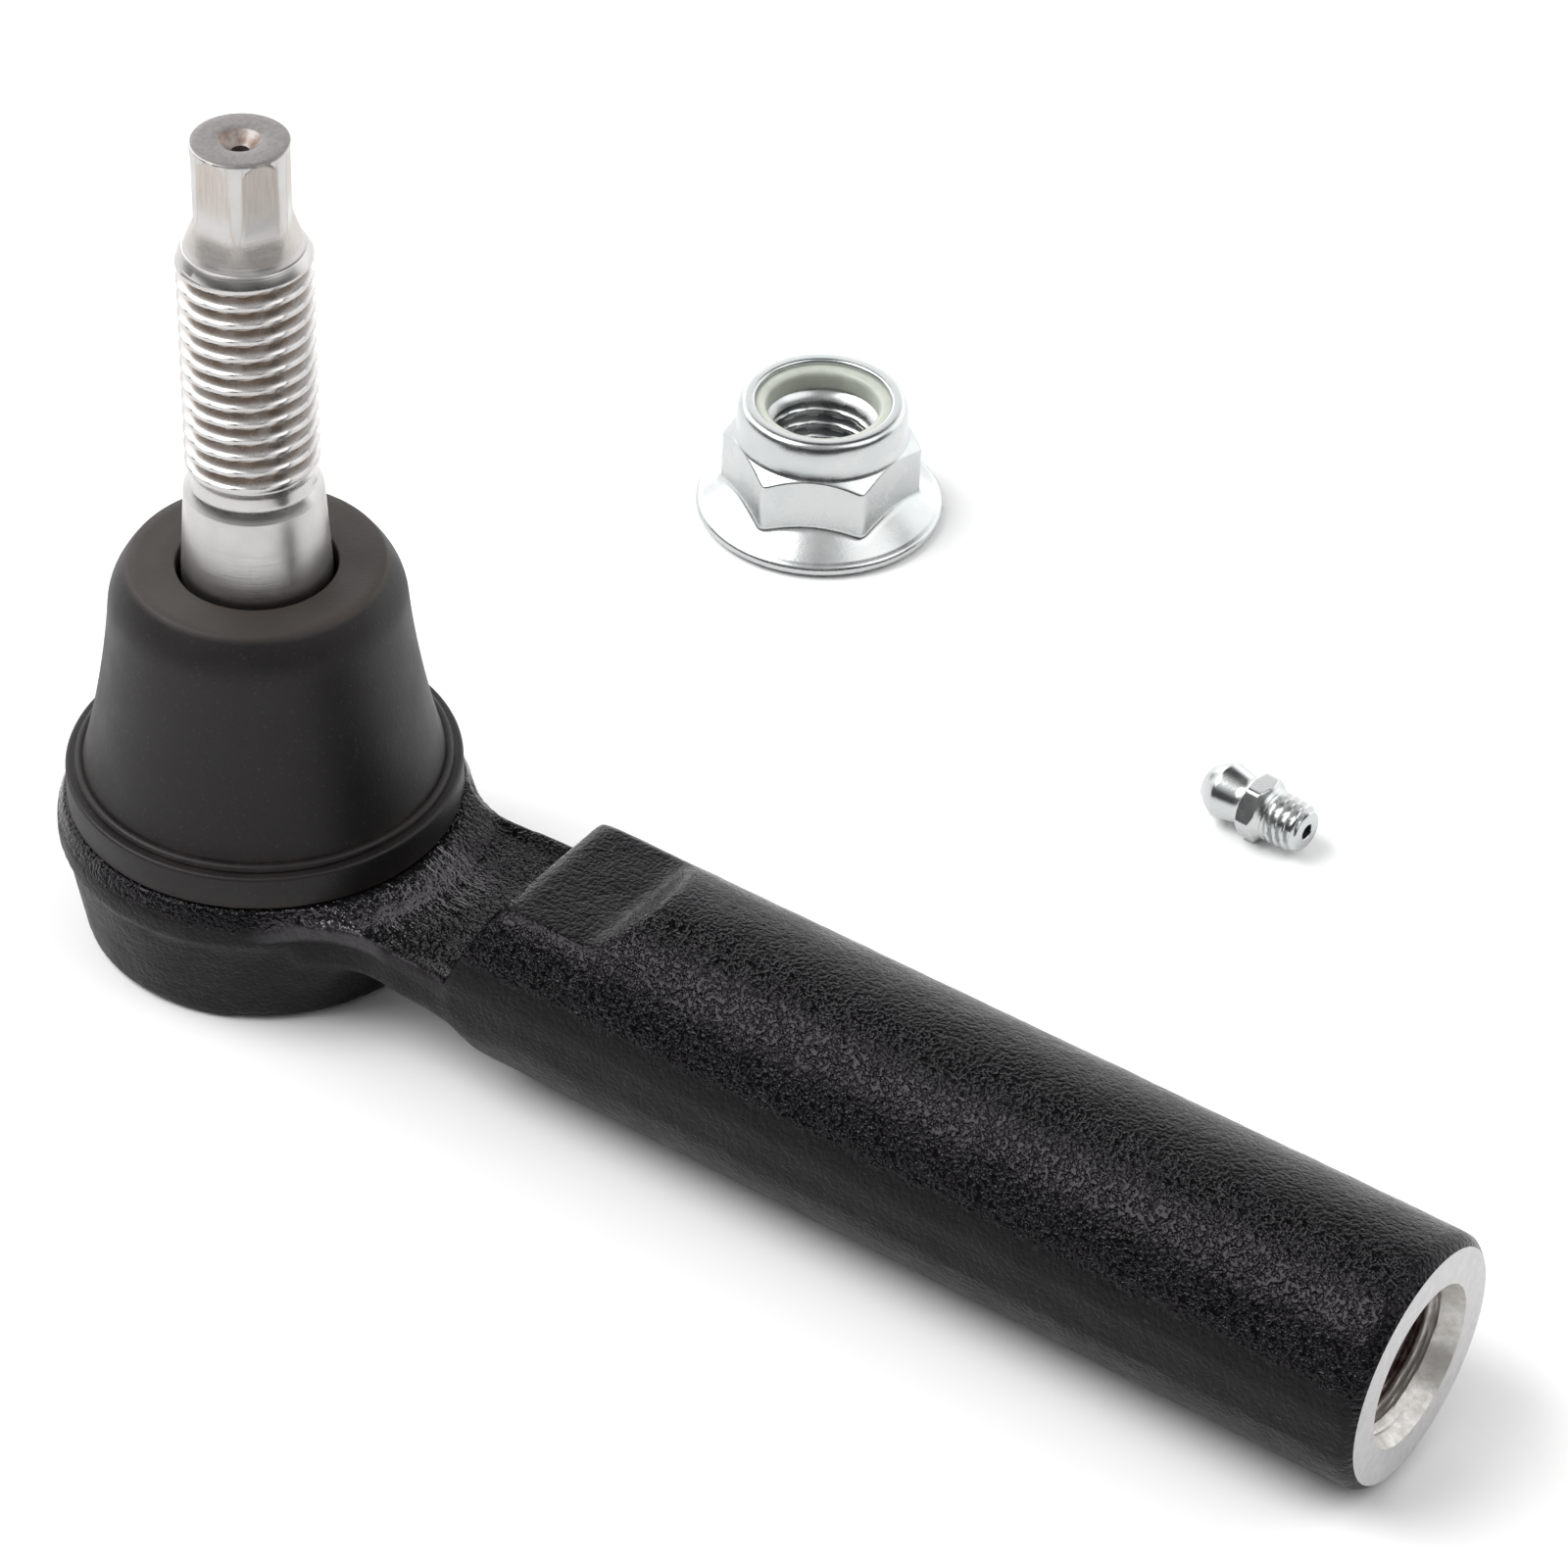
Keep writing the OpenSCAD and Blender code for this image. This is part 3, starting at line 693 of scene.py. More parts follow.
def soften(obj, iterations, where=None):
    """Rounds a mesh's edges, everywhere or where a test of its points says."""
    smooth = obj.modifiers.new("soften", "SMOOTH")
    smooth.factor = 0.5
    smooth.iterations = iterations
    if where is not None:
        group = obj.vertex_groups.new(name="soft")
        group.add([int(i) for i in np.flatnonzero(where(points_of(obj)))], 1.0, "REPLACE")
        smooth.vertex_group = group.name
    apply_modifiers(obj)
    obj.vertex_groups.clear()


def near_pad(points):
    """The barrel's top shoulder and the ramp at the end of its flat."""
    x, _, z = points.T
    shoulder = (x > BARREL_START + 1) & (x < BARREL_START + SHOULDER_RUN + 2.5) & (z > 20)
    ramp = (x > PAD_END - 2) & (x < PAD_END + PAD_RAMP + 2) & (z > 22)
    return shoulder | ramp


def near_root(points):
    """The underside of the web where it runs out of the socket's side."""
    x, y, z = points.T
    under = (x > 9) & (x < BARREL_START + SHOULDER_RUN + 5) & (z < 12) & (np.hypot(x, y) > BASE_R - 0.5)
    return under | ((np.abs(x - BARREL_START) < 5) & (np.abs(y) > 11.3) & (z < WEB_TOP - 0.6))


def scaled_skin(obj):
    """Sinks the web and gives the forging its low, wide unevenness, from noise at each point."""
    points, normals = points_of(obj), read(obj, "normal")
    points[:, 2] += sink_web(points, normals)
    free = (points[:, 2] > 0.6) & (points[:, 0] < BARREL_END - 0.5)
    free &= ~((np.hypot(points[:, 0], points[:, 1]) < BASE_R + 0.2) & (points[:, 2] > SHOULDER_Z - 0.3))
    lift = np.zeros(len(points))
    for i in np.flatnonzero(free):
        p = Vector(points[i])
        lift[i] = 0.05 * noise.noise(p * 0.22) + 0.035 * noise.noise(p * 0.75) - 0.03
    move_points(obj, points + normals * lift[:, None])


def chamber_cutter():
    """The space inside the socket, from the rolled edge at the bottom to the flared lip at the top."""
    seat_r, cover_r, cover_top, roof = 12.8, 15, 4.6, 23.6
    cutter = lathe("chamber", [
        (AXIS_R, -1), (13.2, -1), (13.2, 0.6), (13.4, 0.8), (cover_r, 0.8), (cover_r, cover_top),
        (seat_r, cover_top), (seat_r, roof), (9.3, roof), (10.5, NECK_TOP), (10.6, NECK_TOP + 1),
        (AXIS_R, NECK_TOP + 1)], around=128)
    cutter.data.materials.append(FACED)
    return cutter


def end_cutters():
    """What faces the barrel's end and opens its bore, both leaving bare steel."""
    far = BARREL_END + 9
    face = prism("facing", [(BARREL_END, -20), (far, -20), (far, 20), (BARREL_END, 20)], -8, 2 * BARREL_R + 8)
    deep, bore_r = BARREL_END - BORE_DEPTH - DRILL_POINT, MOUTH_R + 0.05
    top = BARREL_END + 1
    bore = lathe("boring", [(AXIS_R, deep), (bore_r, deep), (bore_r, top), (AXIS_R, top)])
    along_x(bore, BARREL_R)
    for cutter in (face, bore):
        cutter.data.materials.append(FACED)
    return face, bore


def dull_mask(points):
    """1 on the trimmed flash, the web's edge and the socket's draughted side, 0 on the sagging gloss."""
    x, y, z = points.T
    r = np.hypot(x, y)
    flank = (x > BARREL_START - 1) * smoothstep(12.2, 13.1, np.abs(y)) * (z < 19)
    edge = (x > 14) * (x < BARREL_START + 2) * smoothstep(-0.9, 0, np.abs(y) - web_half(x))
    edge = edge * smoothstep(WEB_TOP + 0.3, WEB_TOP - 0.5, z)
    side = (r > BASE_R - 0.5) * (r < SOCKET_R + 0.6) * smoothstep(PARTING_Z + 2.0, PARTING_Z + 0.7, z)
    under = smoothstep(11, 9, z)
    return np.clip(np.maximum.reduce([flank, edge, side, under]), 0, 1)


def forging():
    """The socket, web and barrel as one smoothly blended forging, then its machined surfaces."""
    skin = join_all([socket_blank(), *web_blank(), barrel_blank()], "forging")
    remesh = skin.modifiers.new("skin", "REMESH")
    remesh.mode = "VOXEL"
    remesh.voxel_size = VOXEL * MM
    apply_modifiers(skin)
    soften(skin, 3)
    soften(skin, 16, near_pad)
    soften(skin, 40, near_root)
    scaled_skin(skin)
    skin.data.materials.clear()
    skin.data.materials.append(PAINT)
    boolean(skin, chamber_cutter(), "DIFFERENCE")
    for cutter in end_cutters():
        boolean(skin, cutter, "DIFFERENCE")
    store(skin, "dull", dull_mask(points_of(skin)))
    x, y, z = points_of(skin).T
    on_pad = (x > BARREL_START + 2) * smoothstep(PAD_END + 2.5, PAD_END, x)
    on_pad = on_pad * smoothstep(PAD_Z - 1, PAD_Z - 0.2, z)
    on_crown = 0.75 * smoothstep(PAD_END, PAD_END + 4, x) * smoothstep(-4.5, 1, y) * smoothstep(16, 20, z)
    store(skin, "calm", np.maximum(on_pad, on_crown))
    on_web = smoothstep(12, 16, x) * smoothstep(BARREL_START + 1, BARREL_START - 0.5, x) * (z > PARTING_Z)
    off_socket = np.hypot(x, y) - SOCKET_R
    store(skin, "wet", on_web * smoothstep(6, 1, y) * (0.15 + 0.85 * smoothstep(7, 4.5, off_socket)))
    shade(skin, 40)
    dress(skin, PAINT, "housing", ["housing_forging"])


def rod_thread():
    """The barrel's internal thread: countersink, M16 x 1.5 turns and the drill point."""
    pitch, depth = 1.5, 0.8
    start, sunk = BARREL_END - BORE_DEPTH, BARREL_END - SINK_DEPTH
    outer = MOUTH_R + 0.06
    profile = densify([(MOUTH_R - 0.02, BARREL_END - 0.01), (BORE_R + 0.01, sunk)], 0.13)
    profile += [(BORE_R, x) for x in np.arange(sunk - 0.1, start + 8, -pitch / 12)]
    profile += [(BORE_R, start + 4), (BORE_R, start), (0.3, start - 4.1), (0.3, start - 4.4),
                (outer, start - 4.4), (outer, BARREL_END - 0.01)]

    def cut(radius, height, angles):
        if radius == outer or radius < BORE_R:
            return radius
        fade = smoothstep(start + 8, start + 11, height)
        groove = depth * fade * (1 - thread_cut(angles, height, pitch, BARREL_END, 0))
        return np.maximum(radius, BORE_R + groove)

    bore = lathe("rod_thread", profile, around=96, shape=cut, loop=True, sharp_deg=30)
    x, y, z = points_of(bore).T
    # painted shade: past the countersink every point of the bore, crests too, is darkened towards the roots'
    # brown; the roots are darkened most
    inside, r = smoothstep(2.2, 4.4, BARREL_END - z), np.hypot(x, y)
    store(bore, "root_oil_and_bore_shade", inside * (0.62 + 0.38 * smoothstep(BORE_R + 0.1, BORE_R + 0.5, r)))
    along_x(bore, BARREL_R)
    dress(bore, TAPPED, "housing")


# --- ball stud ---

STUD_PITCH = 2.0
STUD_THREAD_R = 7.0
STUD_THREAD_DEPTH = 1.15
STUD_NECK_R = 6.0
TAPER_R = 7.9  # thick end of the taper
THREAD_LOW = 59.3  # foot of the thread
THREAD_HIGH = 84.6  # top of the thread
CREST_Z, CREST_ANGLE = 83.53, math.radians(-145)  # one point on the thread's crest
TIP_R = 5.1
TIP_LOW = 85.7  # where the cone between thread and tip begins
TIP_FLAT = 4.66  # distance from the axis to the tip's six flats
TIP_TURN = math.radians(33)  # direction of the first flat
FLAT_LOW = 88.2  # where the flats run out towards the thread


def stud_profile():
    """Outline of the stud from the ball's flat to the bottom of the centre drilling."""
    flat_z = stud_low[2]
    flat_deg = math.degrees(math.asin((flat_z - BALL_Z) / BALL_R))
    neck_deg = math.degrees(math.acos(STUD_NECK_R / BALL_R))
    ball = arc((0, BALL_Z), BALL_R, flat_deg, neck_deg, 44)
    flat_r = math.sqrt(BALL_R**2 - (flat_z - BALL_Z) ** 2)
    profile = [(AXIS_R, flat_z), (flat_r - 0.3, flat_z)] + ball[1:] + [(STUD_NECK_R, 27.4)]
    profile += cubic((STUD_NECK_R, 30), (STUD_NECK_R, 33), (TAPER_R, 33), (TAPER_R, 36), 8)
    profile += densify([(TAPER_R, 36), (TAPER_R, 46.4), (7.31, 55.7)], 2)[1:]
    profile += [(7.26, 55.95), (6.72, 56.9), (6.6, 57.1), (6.56, 57.5), (6.56, 58.4), (6.62, 58.8)]
    profile += [(6.9, 59.35)]
    profile += [(STUD_THREAD_R, z) for z in np.arange(59.5, THREAD_HIGH - 0.3, STUD_PITCH / 16)]
    profile += [(6.95, 84.4), (6.42, 85.25), (6.3, 85.4), (6.12, 85.46), (6.08, 85.6)]
    profile += cubic((6.08, 85.6), (5.7, 86.9), (TIP_R + 0.06, 88), (TIP_R + 0.02, 90), 12)[1:]
    profile += [(TIP_R, z) for z in np.arange(90.2, STUD_TOP - 0.3, 0.2)]
    profile += [(TIP_R, STUD_TOP - 0.18), (TIP_R - 0.06, STUD_TOP - 0.06), (TIP_R - 0.18, STUD_TOP)]
    profile += [(4.2, STUD_TOP), (3.2, STUD_TOP), (2.2, STUD_TOP), (2.12, STUD_TOP - 0.03)]
    profile += [(0.92, STUD_TOP - 1.25), (0.9, STUD_TOP - 4), (0.02, STUD_TOP - 4.4)]
    return profile


def flat_distance(height):
    """How far the tip's flats are from the axis: they lean in a little towards the thread."""
    return TIP_FLAT + 0.012 * (height - 89)


def tip_flat(angles):
    """How far each direction is from the middle of the tip's nearest flat: the angle, and across the flat."""
    off = off_flat(angles, TIP_TURN)
    return off, TIP_R * np.sin(off)


def stud_shape(radius, height, angles):
    """Cuts the thread and the tip's six flats in the stud's rings."""
    radii = radius
    if THREAD_LOW < height < THREAD_HIGH:
        fade = smoothstep(THREAD_LOW, 60.6, height) * smoothstep(THREAD_HIGH, THREAD_HIGH - 0.9, height)
        cut = thread_cut(angles, height, STUD_PITCH, CREST_Z, CREST_ANGLE, 0.15, 0.1)
        radii = radii - STUD_THREAD_DEPTH * fade * cut
    if TIP_LOW < height <= STUD_TOP and radius > TIP_R - 0.5:
        off, across = tip_flat(angles)
        below = FLAT_LOW - height
        run_out = 0.3 * (below + math.sqrt(below**2 + 0.8))
        arch = 1.4 * np.clip(height - (STUD_TOP - 0.35 - 0.26 * across**2), 0, None)
        flats = (flat_distance(height) + run_out + arch) / np.cos(off)
        round_over = 0.3 * np.clip(1 - np.abs(flats - radii) / 0.3, 0, None) ** 2 / 4 * (height < 89)
        radii = np.minimum(radii, flats) - round_over
    return radii


def ball_stud():
    """The stud, with its helical thread, taper, six-sided tip and centre drilling."""
    stud = lathe("stud", stud_profile(), around=216, shape=stud_shape, sharp_deg=28)
    x, y, z = points_of(stud).T
    r = np.hypot(x, y)
    in_thread = (z > 60) & (z < THREAD_HIGH)
    store(stud, "root_oil_and_bore_shade", in_thread * smoothstep(STUD_THREAD_R - 0.28, STUD_THREAD_R - 0.85, r))
    off = off_flat(np.arctan2(y, x), TIP_TURN)
    on_flat = smoothstep(0.06, 0.02, np.abs(r * np.cos(off) - flat_distance(z))) * (z > FLAT_LOW - 0.5)
    run_out = 0.6 * smoothstep(88.9, 88.3, z) * (z > 86)
    on_tip = (z < STUD_TOP - 0.3) * (r > TIP_FLAT - 0.2)
    store(stud, "flat", np.maximum(on_flat, run_out) * on_tip)
    store(stud, "satin", smoothstep(57, 56, z) + (z > THREAD_HIGH + 0.6))
    for material in (TURNED, CUT, DRILLED):
        stud.data.materials.append(material)
    for face in stud.data.polygons:
        centre = np.array(face.center) / MM
        if centre[2] > STUD_TOP - 5 and np.hypot(*centre[:2]) < 2.18:
            face.material_index = 2
        elif centre[2] > STUD_TOP - 0.02:
            face.material_index = 1
    dress(stud, TURNED, "stud", ["ball_stud"])


# --- boot ---

BELL_FOOT, BELL_WAIST = (19.3, 21.4), (15.75, 41.3)  # ends of the bell's curve, as (radius, height)
RUBBER_T = 1.9  # thickness of the bell's wall
RIM_R, HOLE_R, LIP_R = 13.5, 8.5, 8.0  # top face, its hole, and the lip inside it that grips the stud
FLANGE_TOP = 20.6


def bell(inset):
    """The bell's curve from its foot to its waist, moved inwards by inset."""
    return cubic((BELL_FOOT[0] - inset, BELL_FOOT[1]), (17.9 - inset, 26.5), (16.4 - inset, 34),
                 (BELL_WAIST[0] - inset, BELL_WAIST[1]), 16)


def boot_section():
    """The boot's cross-section, once round: foot flange, bead, bell, top face, lip and inner wall."""
    inner_foot = NECK_R + 0.05
    outer = [(inner_foot, BOOT_FOOT), (BOOT_FOOT_R - 0.35, BOOT_FOOT)]
    outer += arc((BOOT_FOOT_R - 0.25, BOOT_FOOT + 0.25), 0.25, -90, 0, 5)
    outer += [(BOOT_FOOT_R - 0.02, 18.6)]
    outer += arc((BOOT_FOOT_R - 0.45, FLANGE_TOP - 0.45), 0.42, 5, 85, 7)
    outer += [(20.5, FLANGE_TOP - 0.06), (20.25, FLANGE_TOP - 0.04)]
    outer += arc((19.72, FLANGE_TOP + 0.18), 0.55, -20, 100, 9)
    outer += [(19.4, FLANGE_TOP + 0.64), (19.24, FLANGE_TOP + 1.1)]
    top = cubic(BELL_WAIST, (15.6, 43.2), (14.9, 44.6), (RIM_R + 0.12, BOOT_TOP - 0.1), 9)
    top += [(RIM_R - 0.1, BOOT_TOP - 0.01), (12.4, BOOT_TOP - 0.05), (10.6, BOOT_TOP - 0.1)]
    top += [(HOLE_R + 0.4, BOOT_TOP - 0.13)]
    lip = arc((HOLE_R + 0.3, BOOT_TOP - 0.45), 0.3, 90, 180, 6)
    lip += [(HOLE_R, BOOT_TOP - 2.3), (LIP_R + 0.1, BOOT_TOP - 2.9), (LIP_R + 0.03, BOOT_TOP - 3.6)]
    lip += [(LIP_R + 0.03, 40.9), (LIP_R + 0.4, 40.4), (10.9, 40.4), (11.5, 43.2)]
    inside = [(BELL_WAIST[0] - RUBBER_T - 0.8, 43)] + bell(RUBBER_T)[::-1]
    return outer + bell(0)[1:-1] + top + lip + inside + [(inner_foot, BELL_FOOT[1] + 0.1)]


def dust_boot():
    """The rubber boot, baked in place and given no body."""
    boot = lathe("boot", boot_section(), around=144, loop=True, sharp_deg=33)
    x, y, z = points_of(boot).T
    r = np.hypot(x, y)
    outside = read(boot, "normal")
    outward = outside[:, 0] * x + outside[:, 1] * y > 0
    crease = ridge(z, 21.35, 0.22) * (r > 18) * (r < 19.6) * outward
    crease += 0.4 * ridge(r, 20.3, 0.15) * (z > 20) * (z < 21)
    crease += 0.7 * ridge(z, BOOT_TOP, 0.35) * ridge(r, RIM_R, 0.5)
    crease += 0.8 * ridge(r, HOLE_R, 0.45) * (z > BOOT_TOP - 1)
    crease += 0.5 * ridge(z, BOOT_FOOT, 0.5) * (r > BOOT_FOOT_R - 1)
    store(boot, "crease", np.clip(crease, 0, 1))
    store(boot, "top_face", (z > BOOT_TOP - 0.6) * smoothstep(RIM_R + 0.5, RIM_R - 0.2, r))
    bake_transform(boot)
    dress(boot, RUBBER, None, ["dust_boot"])


# --- lock nut ---

NUT_AF = 21.0
NUT_TURN = math.radians(-1)  # direction of the hexagon's first flat
NUT_BORE_R = 6.0
NUT_PITCH = 2.0
CONE_FOOT = (14.2, 1.62)  # where the flange's cone begins, as (radius, height)
HEX_TOP = 10.8
COLLAR_R = 10.3
INSERT_R = 8.5
NUT_MOUTH_R = 8.1  # crimped mouth over the nylon ring


def six_sided(angles, across_flats, round_mm=0.25):
    """Radius of a hexagon with slightly rounded corners, for each angle."""
    sharp = across_flats / 2 / np.cos(off_flat(angles, 0.0))
    return sharp - np.clip(sharp - corner_radius(across_flats) + round_mm, 0, None) * 0.6


def nut_profile():
    """Section of the nut, once round, from the foot of the bore outwards and back down the bore."""
    corner = corner_radius(NUT_AF)
    top_r = NUT_AF / 2 - 0.15
    flange = [(NUT_BORE_R + 1.25, 0.0), (13.6, 0.0), (NUT_FLANGE_R - 0.5, 0.08)]
    flange += arc((NUT_FLANGE_R - 0.75, 0.85), 0.75, -55, 62, 7)
    cone = densify([CONE_FOOT, (corner + 0.95, 2.36)], 0.15)
    hexagon = [(corner + 0.9, z) for z in np.arange(2.44, 4.6, 0.08)]
    hexagon += [(corner + 0.3, z) for z in np.arange(4.7, HEX_TOP - 1.75, 0.3)]
    hexagon += densify([(corner + 0.1, HEX_TOP - 1.7), (top_r + 0.1, HEX_TOP - 0.12)], 0.18)
    collar = [(COLLAR_R + 0.25, HEX_TOP + 0.1), (COLLAR_R + 0.02, HEX_TOP + 0.45), (COLLAR_R, 12.8)]
    collar += cubic((COLLAR_R, 12.8), (COLLAR_R, 14.7), (10.0, NUT_H - 0.05), (9.15, NUT_H), 10)[1:]
    collar += arc((NUT_MOUTH_R + 0.45, NUT_H - 0.42), 0.42, 88, 200, 7)
    inside = [(NUT_MOUTH_R + 0.05, 14.95), (INSERT_R - 0.02, 14.93), (INSERT_R - 0.02, 12.0)]
    inside += [(7.3, 11.98), (6.9, 11.5)]
    turns = [(NUT_BORE_R, z) for z in np.arange(11.2, 0.8, -NUT_PITCH / 14)]
    return flange + cone + hexagon + collar + inside + turns + [(NUT_BORE_R + 1.1, 0.15)]


def nut_shape(radius, height, angles):
    """Gives the nut its six flats and its internal thread."""
    radii = radius
    if radius > 10.4 and 1.7 < height < HEX_TOP + 0.05:
        flats = six_sided(angles, NUT_AF)
        cone_r = CONE_FOOT[0] - (height - CONE_FOOT[1]) * 1.55
        fillet = 0.7 * np.clip(1 - np.abs(flats - cone_r) / 0.7, 0, None) ** 2 / 4
        radii = np.minimum(radii, np.maximum(flats, cone_r) + fillet)
    if radius == NUT_BORE_R:
        depth = 1.05 * smoothstep(11.4, 10.4, height)
        radii = radii + depth * (1 - thread_cut(angles, height, NUT_PITCH, 0, 0.4, 0.16, 0.18))
    return radii


def lock_nut():
    """The flange nut, with its thread, and the nylon ring under its crimped mouth."""
    nut = lathe("nut", nut_profile(), around=216, shape=nut_shape, loop=True, sharp_deg=40)
    place = Matrix.Translation((*NUT_PLACE[:2], 0))
    transform(nut, place @ Matrix.Rotation(NUT_TURN, 4, "Z"))
    dress(nut, ZINC, "nut", ["lock_nut"])
    low, high = insert_low[2], insert_high[2]
    section = [(INSERT_R - 0.05, low + 0.02), (INSERT_R - 0.05, high - 0.02)]
    section += cubic((7.5, high), (7.0, high - 0.02), (6.72, high - 0.25), (6.7, high - 0.8), 6)
    section += cubic((6.7, low + 0.8), (6.72, low + 0.3), (7.0, low + 0.04), (7.4, low + 0.02), 5)
    ring = lathe("nylon_ring", section, around=144, loop=True, sharp_deg=50)
    transform(ring, place)
    dress(ring, NYLON, "nut", ["nut_insert"])


# --- grease fitting ---

FITTING_TURN = math.radians(-5)
FITTING_PITCH = 1.0
FITTING_THREAD_R = 3.0
PORT_R = 2.5  # crests of the thread in the end cover


def laid_down():
    """From the fitting upright, threaded end down, to where it lies."""
    matrix = Matrix.Translation((*FITTING_PLACE[:2], FITTING_AF / 2))
    matrix = matrix @ Matrix.Rotation(FITTING_TURN, 4, "Z") @ Matrix.Rotation(math.radians(-90), 4, "Y")
    return matrix @ Matrix.Translation((0, 0, -FITTING_LEN / 2))


def fitting_profile():
    """Section of the fitting, once round: threaded shank, hexagon, waist, head and its bore."""
    thread = [(FITTING_THREAD_R, z) for z in np.arange(0.3, 4.5, FITTING_PITCH / 14)]
    corner = corner_radius(FITTING_AF)
    hexagon = [(corner + 0.2, z) for z in np.arange(5.75, 7.05, 0.12)]
    outer = [(0.95, 0.02), (2.1, 0.0), (2.3, 0.1)] + thread
    outer += densify([(2.85, 4.6), (3.15, 4.95), (corner, 5.68)], 0.12) + hexagon
    waist = [(3.2, 7.5), (2.95, 7.7), (2.85, 7.95), (2.85, 8.5), (2.92, 8.75)]
    outer += densify([(corner, 7.1), (3.4, 7.47)], 0.12) + waist
    outer += [(3.35, 10.75), (3.4, 10.95), (3.4, 11.12), (3.34, 11.28), (2.72, 12.38), (2.58, 12.53)]
    outer += [(1.96, 13.32), (1.85, 13.4)]
    bore = [(0.78, 13.4), (0.75, 13.3), (0.75, 13.02), (1.38, 12.0), (1.4, 5.42), (0.92, 5.4), (0.9, 0.1)]
    return outer + bore


def fitting_shape(radius, height, angles):
    """Gives the fitting its six flats and its tapered thread."""
    radii = radius
    if radius > 3.16 and 4.9 < height < 7.49:
        radii = np.minimum(radii, six_sided(angles, FITTING_AF, round_mm=0.15))
    if radius == FITTING_THREAD_R and height < 4.6:
        taper = 0.2 * smoothstep(3, 0.3, height)
        fade = smoothstep(4.5, 3.7, height) * smoothstep(0.1, 0.9, height)
        crest = 0.35 * smoothstep(0.9, 0.3, height)
        cut = thread_cut(angles, height, FITTING_PITCH, 0, 1.0, 0.18, 0.2)
        radii = radii - taper - crest - 0.62 * fade * cut
    return radii


def grease_fitting():
    """The grease fitting's body and its check spring; its ball is the CAD node."""
    body = lathe("fitting", fitting_profile(), around=144, shape=fitting_shape, loop=True, sharp_deg=32)
    transform(body, laid_down())
    dress(body, ZINC, "fitting", ["fitting_body"])
    coil_r, wire_r, low, high, sides, steps = 0.98, 0.17, 5.6, 10.6, 10, 24
    last = 5 * steps
    rings = []
    for i in range(last + 1):
        a = TAU * i / steps
        out = Vector((math.cos(a), math.sin(a), 0))
        centre = coil_r * out + Vector((0, 0, low + (high - low) * i / last))
        rings += [centre + wire_r * (math.cos(b) * out + math.sin(b) * Vector((0, 0, 1)))
                  for b in np.arange(sides) * TAU / sides]
    spring = add_object("check_coil", np.array(rings), grid_faces(last + 1, sides))
    transform(spring, laid_down())
    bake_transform(spring)
    dress(spring, SPRING, None, ["check_spring"])


# --- end cover ---


def end_cover():
    """The pressed cover: embossed ring, and the tapped grease port in its middle."""
    low, top, rim = cover_low[2], cover_high[2], cover_high[0]
    seal_in = 13.62
    section = [(2.95, low + 0.02), (4.6, low), (5.0, low + 0.02)] + arc((6.4, low + 1.4), 1.4, 235, 305, 8)
    section += [(7.8, low + 0.02), (11.4, low), (11.8, low + 0.35), (12.5, low + 0.35), (12.9, low)]
    section += [(rim - 0.2, low), (rim, low + 0.2), (rim, top - 1.3), (seal_in, top - 1.26)]
    section += [(seal_in, top), (2.6, top)]
    section += [(PORT_R, z) for z in np.arange(top - 0.2, low + 0.45, -FITTING_PITCH / 12)]

    def cut(radius, height, angles):
        if radius != PORT_R:
            return radius
        return radius + 0.5 * (1 - thread_cut(angles, height, FITTING_PITCH, 0, 0, 0.18, 0.2))

    cover = lathe("cover", section, around=144, shape=cut, loop=True, sharp_deg=35)
    dress(cover, ZINC, "housing", ["end_cover"])


def disc_spring():
    """The disc spring: a cone from its outer edge on the cover to its inner edge at the pressure seat, baked
    in place and given no body.
    """
    (_, _, foot), (out_r, _, head) = node_box("preload_spring")
    in_r, thick = 5.4, 0.6
    section = densify([(out_r, foot), (out_r, foot + thick), (in_r, head), (in_r, head - thick)], 0.8)
    section += densify([(in_r, head - thick), (out_r, foot)], 0.8)[1:-1]
    spring = lathe("disc_spring", section, around=128, loop=True)
    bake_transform(spring)
    dress(spring, SPRING, None, ["preload_spring"])


# --- carried-over nodes ---


def finish_nodes():
    """The other hidden pieces keep their CAD shape and get a finish of their own."""
    finishes = {"cover_seal": SEAL, "pressure_seat": ACETAL, "upper_seat": ACETAL,
                "boot_anchor_ring": SPRING, "boot_lip_ring": SPRING, "check_ball": TURNED}
    for name, material in finishes.items():
        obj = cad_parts[name]
        for slot in obj.material_slots:
            slot.link = "OBJECT"
            slot.material = material


# --- studio ---


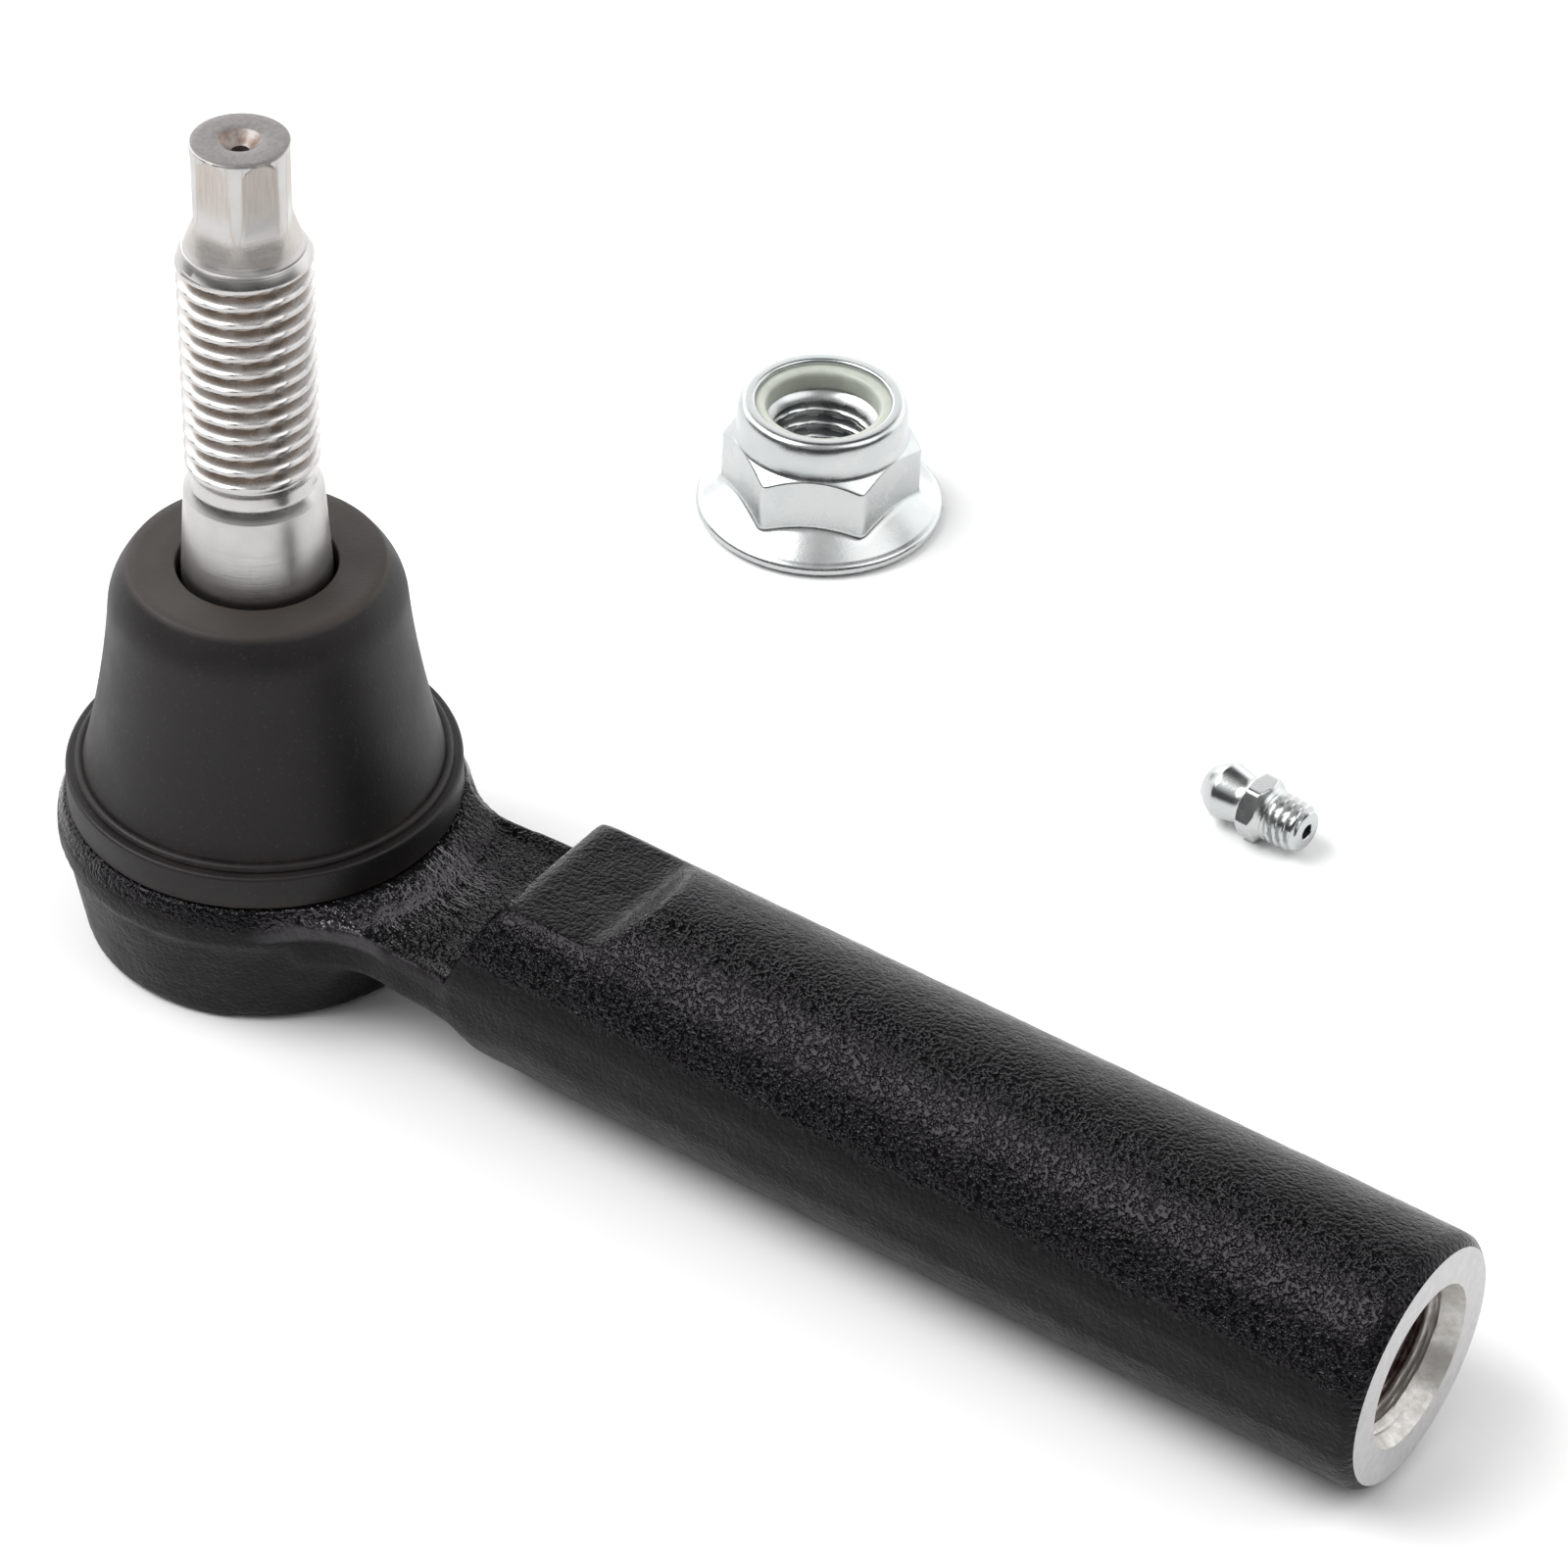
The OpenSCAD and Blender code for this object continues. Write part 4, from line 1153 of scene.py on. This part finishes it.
def dome():
    """Soft surroundings: round softboxes, a faint glow low down, and dim gaps between them."""
    world = bpy.data.worlds.new("studio")
    bpy.context.scene.world = world
    sky = Tree(world)
    look = sky.add("ShaderNodeTexCoord").outputs["Generated"]
    split = sky.add("ShaderNodeSeparateXYZ")
    sky.link(look, split.inputs["Vector"])
    light = sky.remap(split.outputs["Z"], 0.3, 0.0, 0, HORIZON, interpolation_type="SMOOTHSTEP")
    for azimuth, elevation, inner, outer, radiance in SOFTBOXES:
        az, el = math.radians(azimuth), math.radians(elevation)
        dot = sky.add("ShaderNodeVectorMath", operation="DOT_PRODUCT")
        dot.inputs[1].default_value = (math.cos(el) * math.cos(az), math.cos(el) * math.sin(az), math.sin(el))
        sky.link(look, dot.inputs[0])
        edges = [math.cos(math.radians(angle)) for angle in (outer, inner)]
        light = sky.plus(light, sky.remap(dot.outputs["Value"], *edges, 0, radiance,
                                          interpolation_type="SMOOTHSTEP"))
    background = sky.nodes["Background"]
    sky.link(sky.plus(light, GAP), background.inputs["Strength"])
    background.inputs["Color"].default_value = (1, 1, 1, 1)


GAP = 0.035  # radiance of the dim parts of the dome
HORIZON = 0.07  # extra radiance low down, all round
SOFTBOXES = [  # azimuth, elevation, inner and outer radius, all in degrees, and radiance
    (-138, 54, 10, 25, 6.8), (-75, 62, 20, 42, 0.5), (16, 50, 14, 30, 2.0), (-176, 36, 10, 28, 1.7),
    (124, 16, 20, 36, 1.5), (164, 14, 20, 34, 1.2), (70, 16, 20, 36, 1.7)]


def studio():
    """White paper floor under the soft dome."""
    bpy.ops.mesh.primitive_plane_add(size=6, location=(0, 0, -0.0002))
    floor = bpy.context.object
    floor.name = "floor"
    floor.data.materials.append(floor_paper())
    dome()


def camera():
    """A long lens above the barrel's open end, rolled a little as the view is."""
    azimuth, elevation, roll = math.radians(33.6), math.radians(38.9), math.radians(2.16)
    target = Vector((0.0526, 0.0215, 0.0280))
    distance = 0.556  # all in metres
    back = Vector((math.sin(azimuth) * math.cos(elevation), -math.cos(azimuth) * math.cos(elevation),
                   math.sin(elevation)))
    data = bpy.data.cameras.new("camera")
    data.lens = 122
    data.sensor_width = 36
    data.clip_start = 0.01
    obj = show(data)
    turn = back.to_track_quat("Z", "Y") @ Matrix.Rotation(roll, 3, "Z").to_quaternion()
    obj.matrix_world = Matrix.Translation(target + back * distance) @ turn.to_matrix().to_4x4()
    bpy.context.scene.camera = obj


forging()
rod_thread()
ball_stud()
dust_boot()
lock_nut()
grease_fitting()
end_cover()
disc_spring()
finish_nodes()
studio()
camera()
bpy.context.scene.view_settings.view_transform = "Standard"
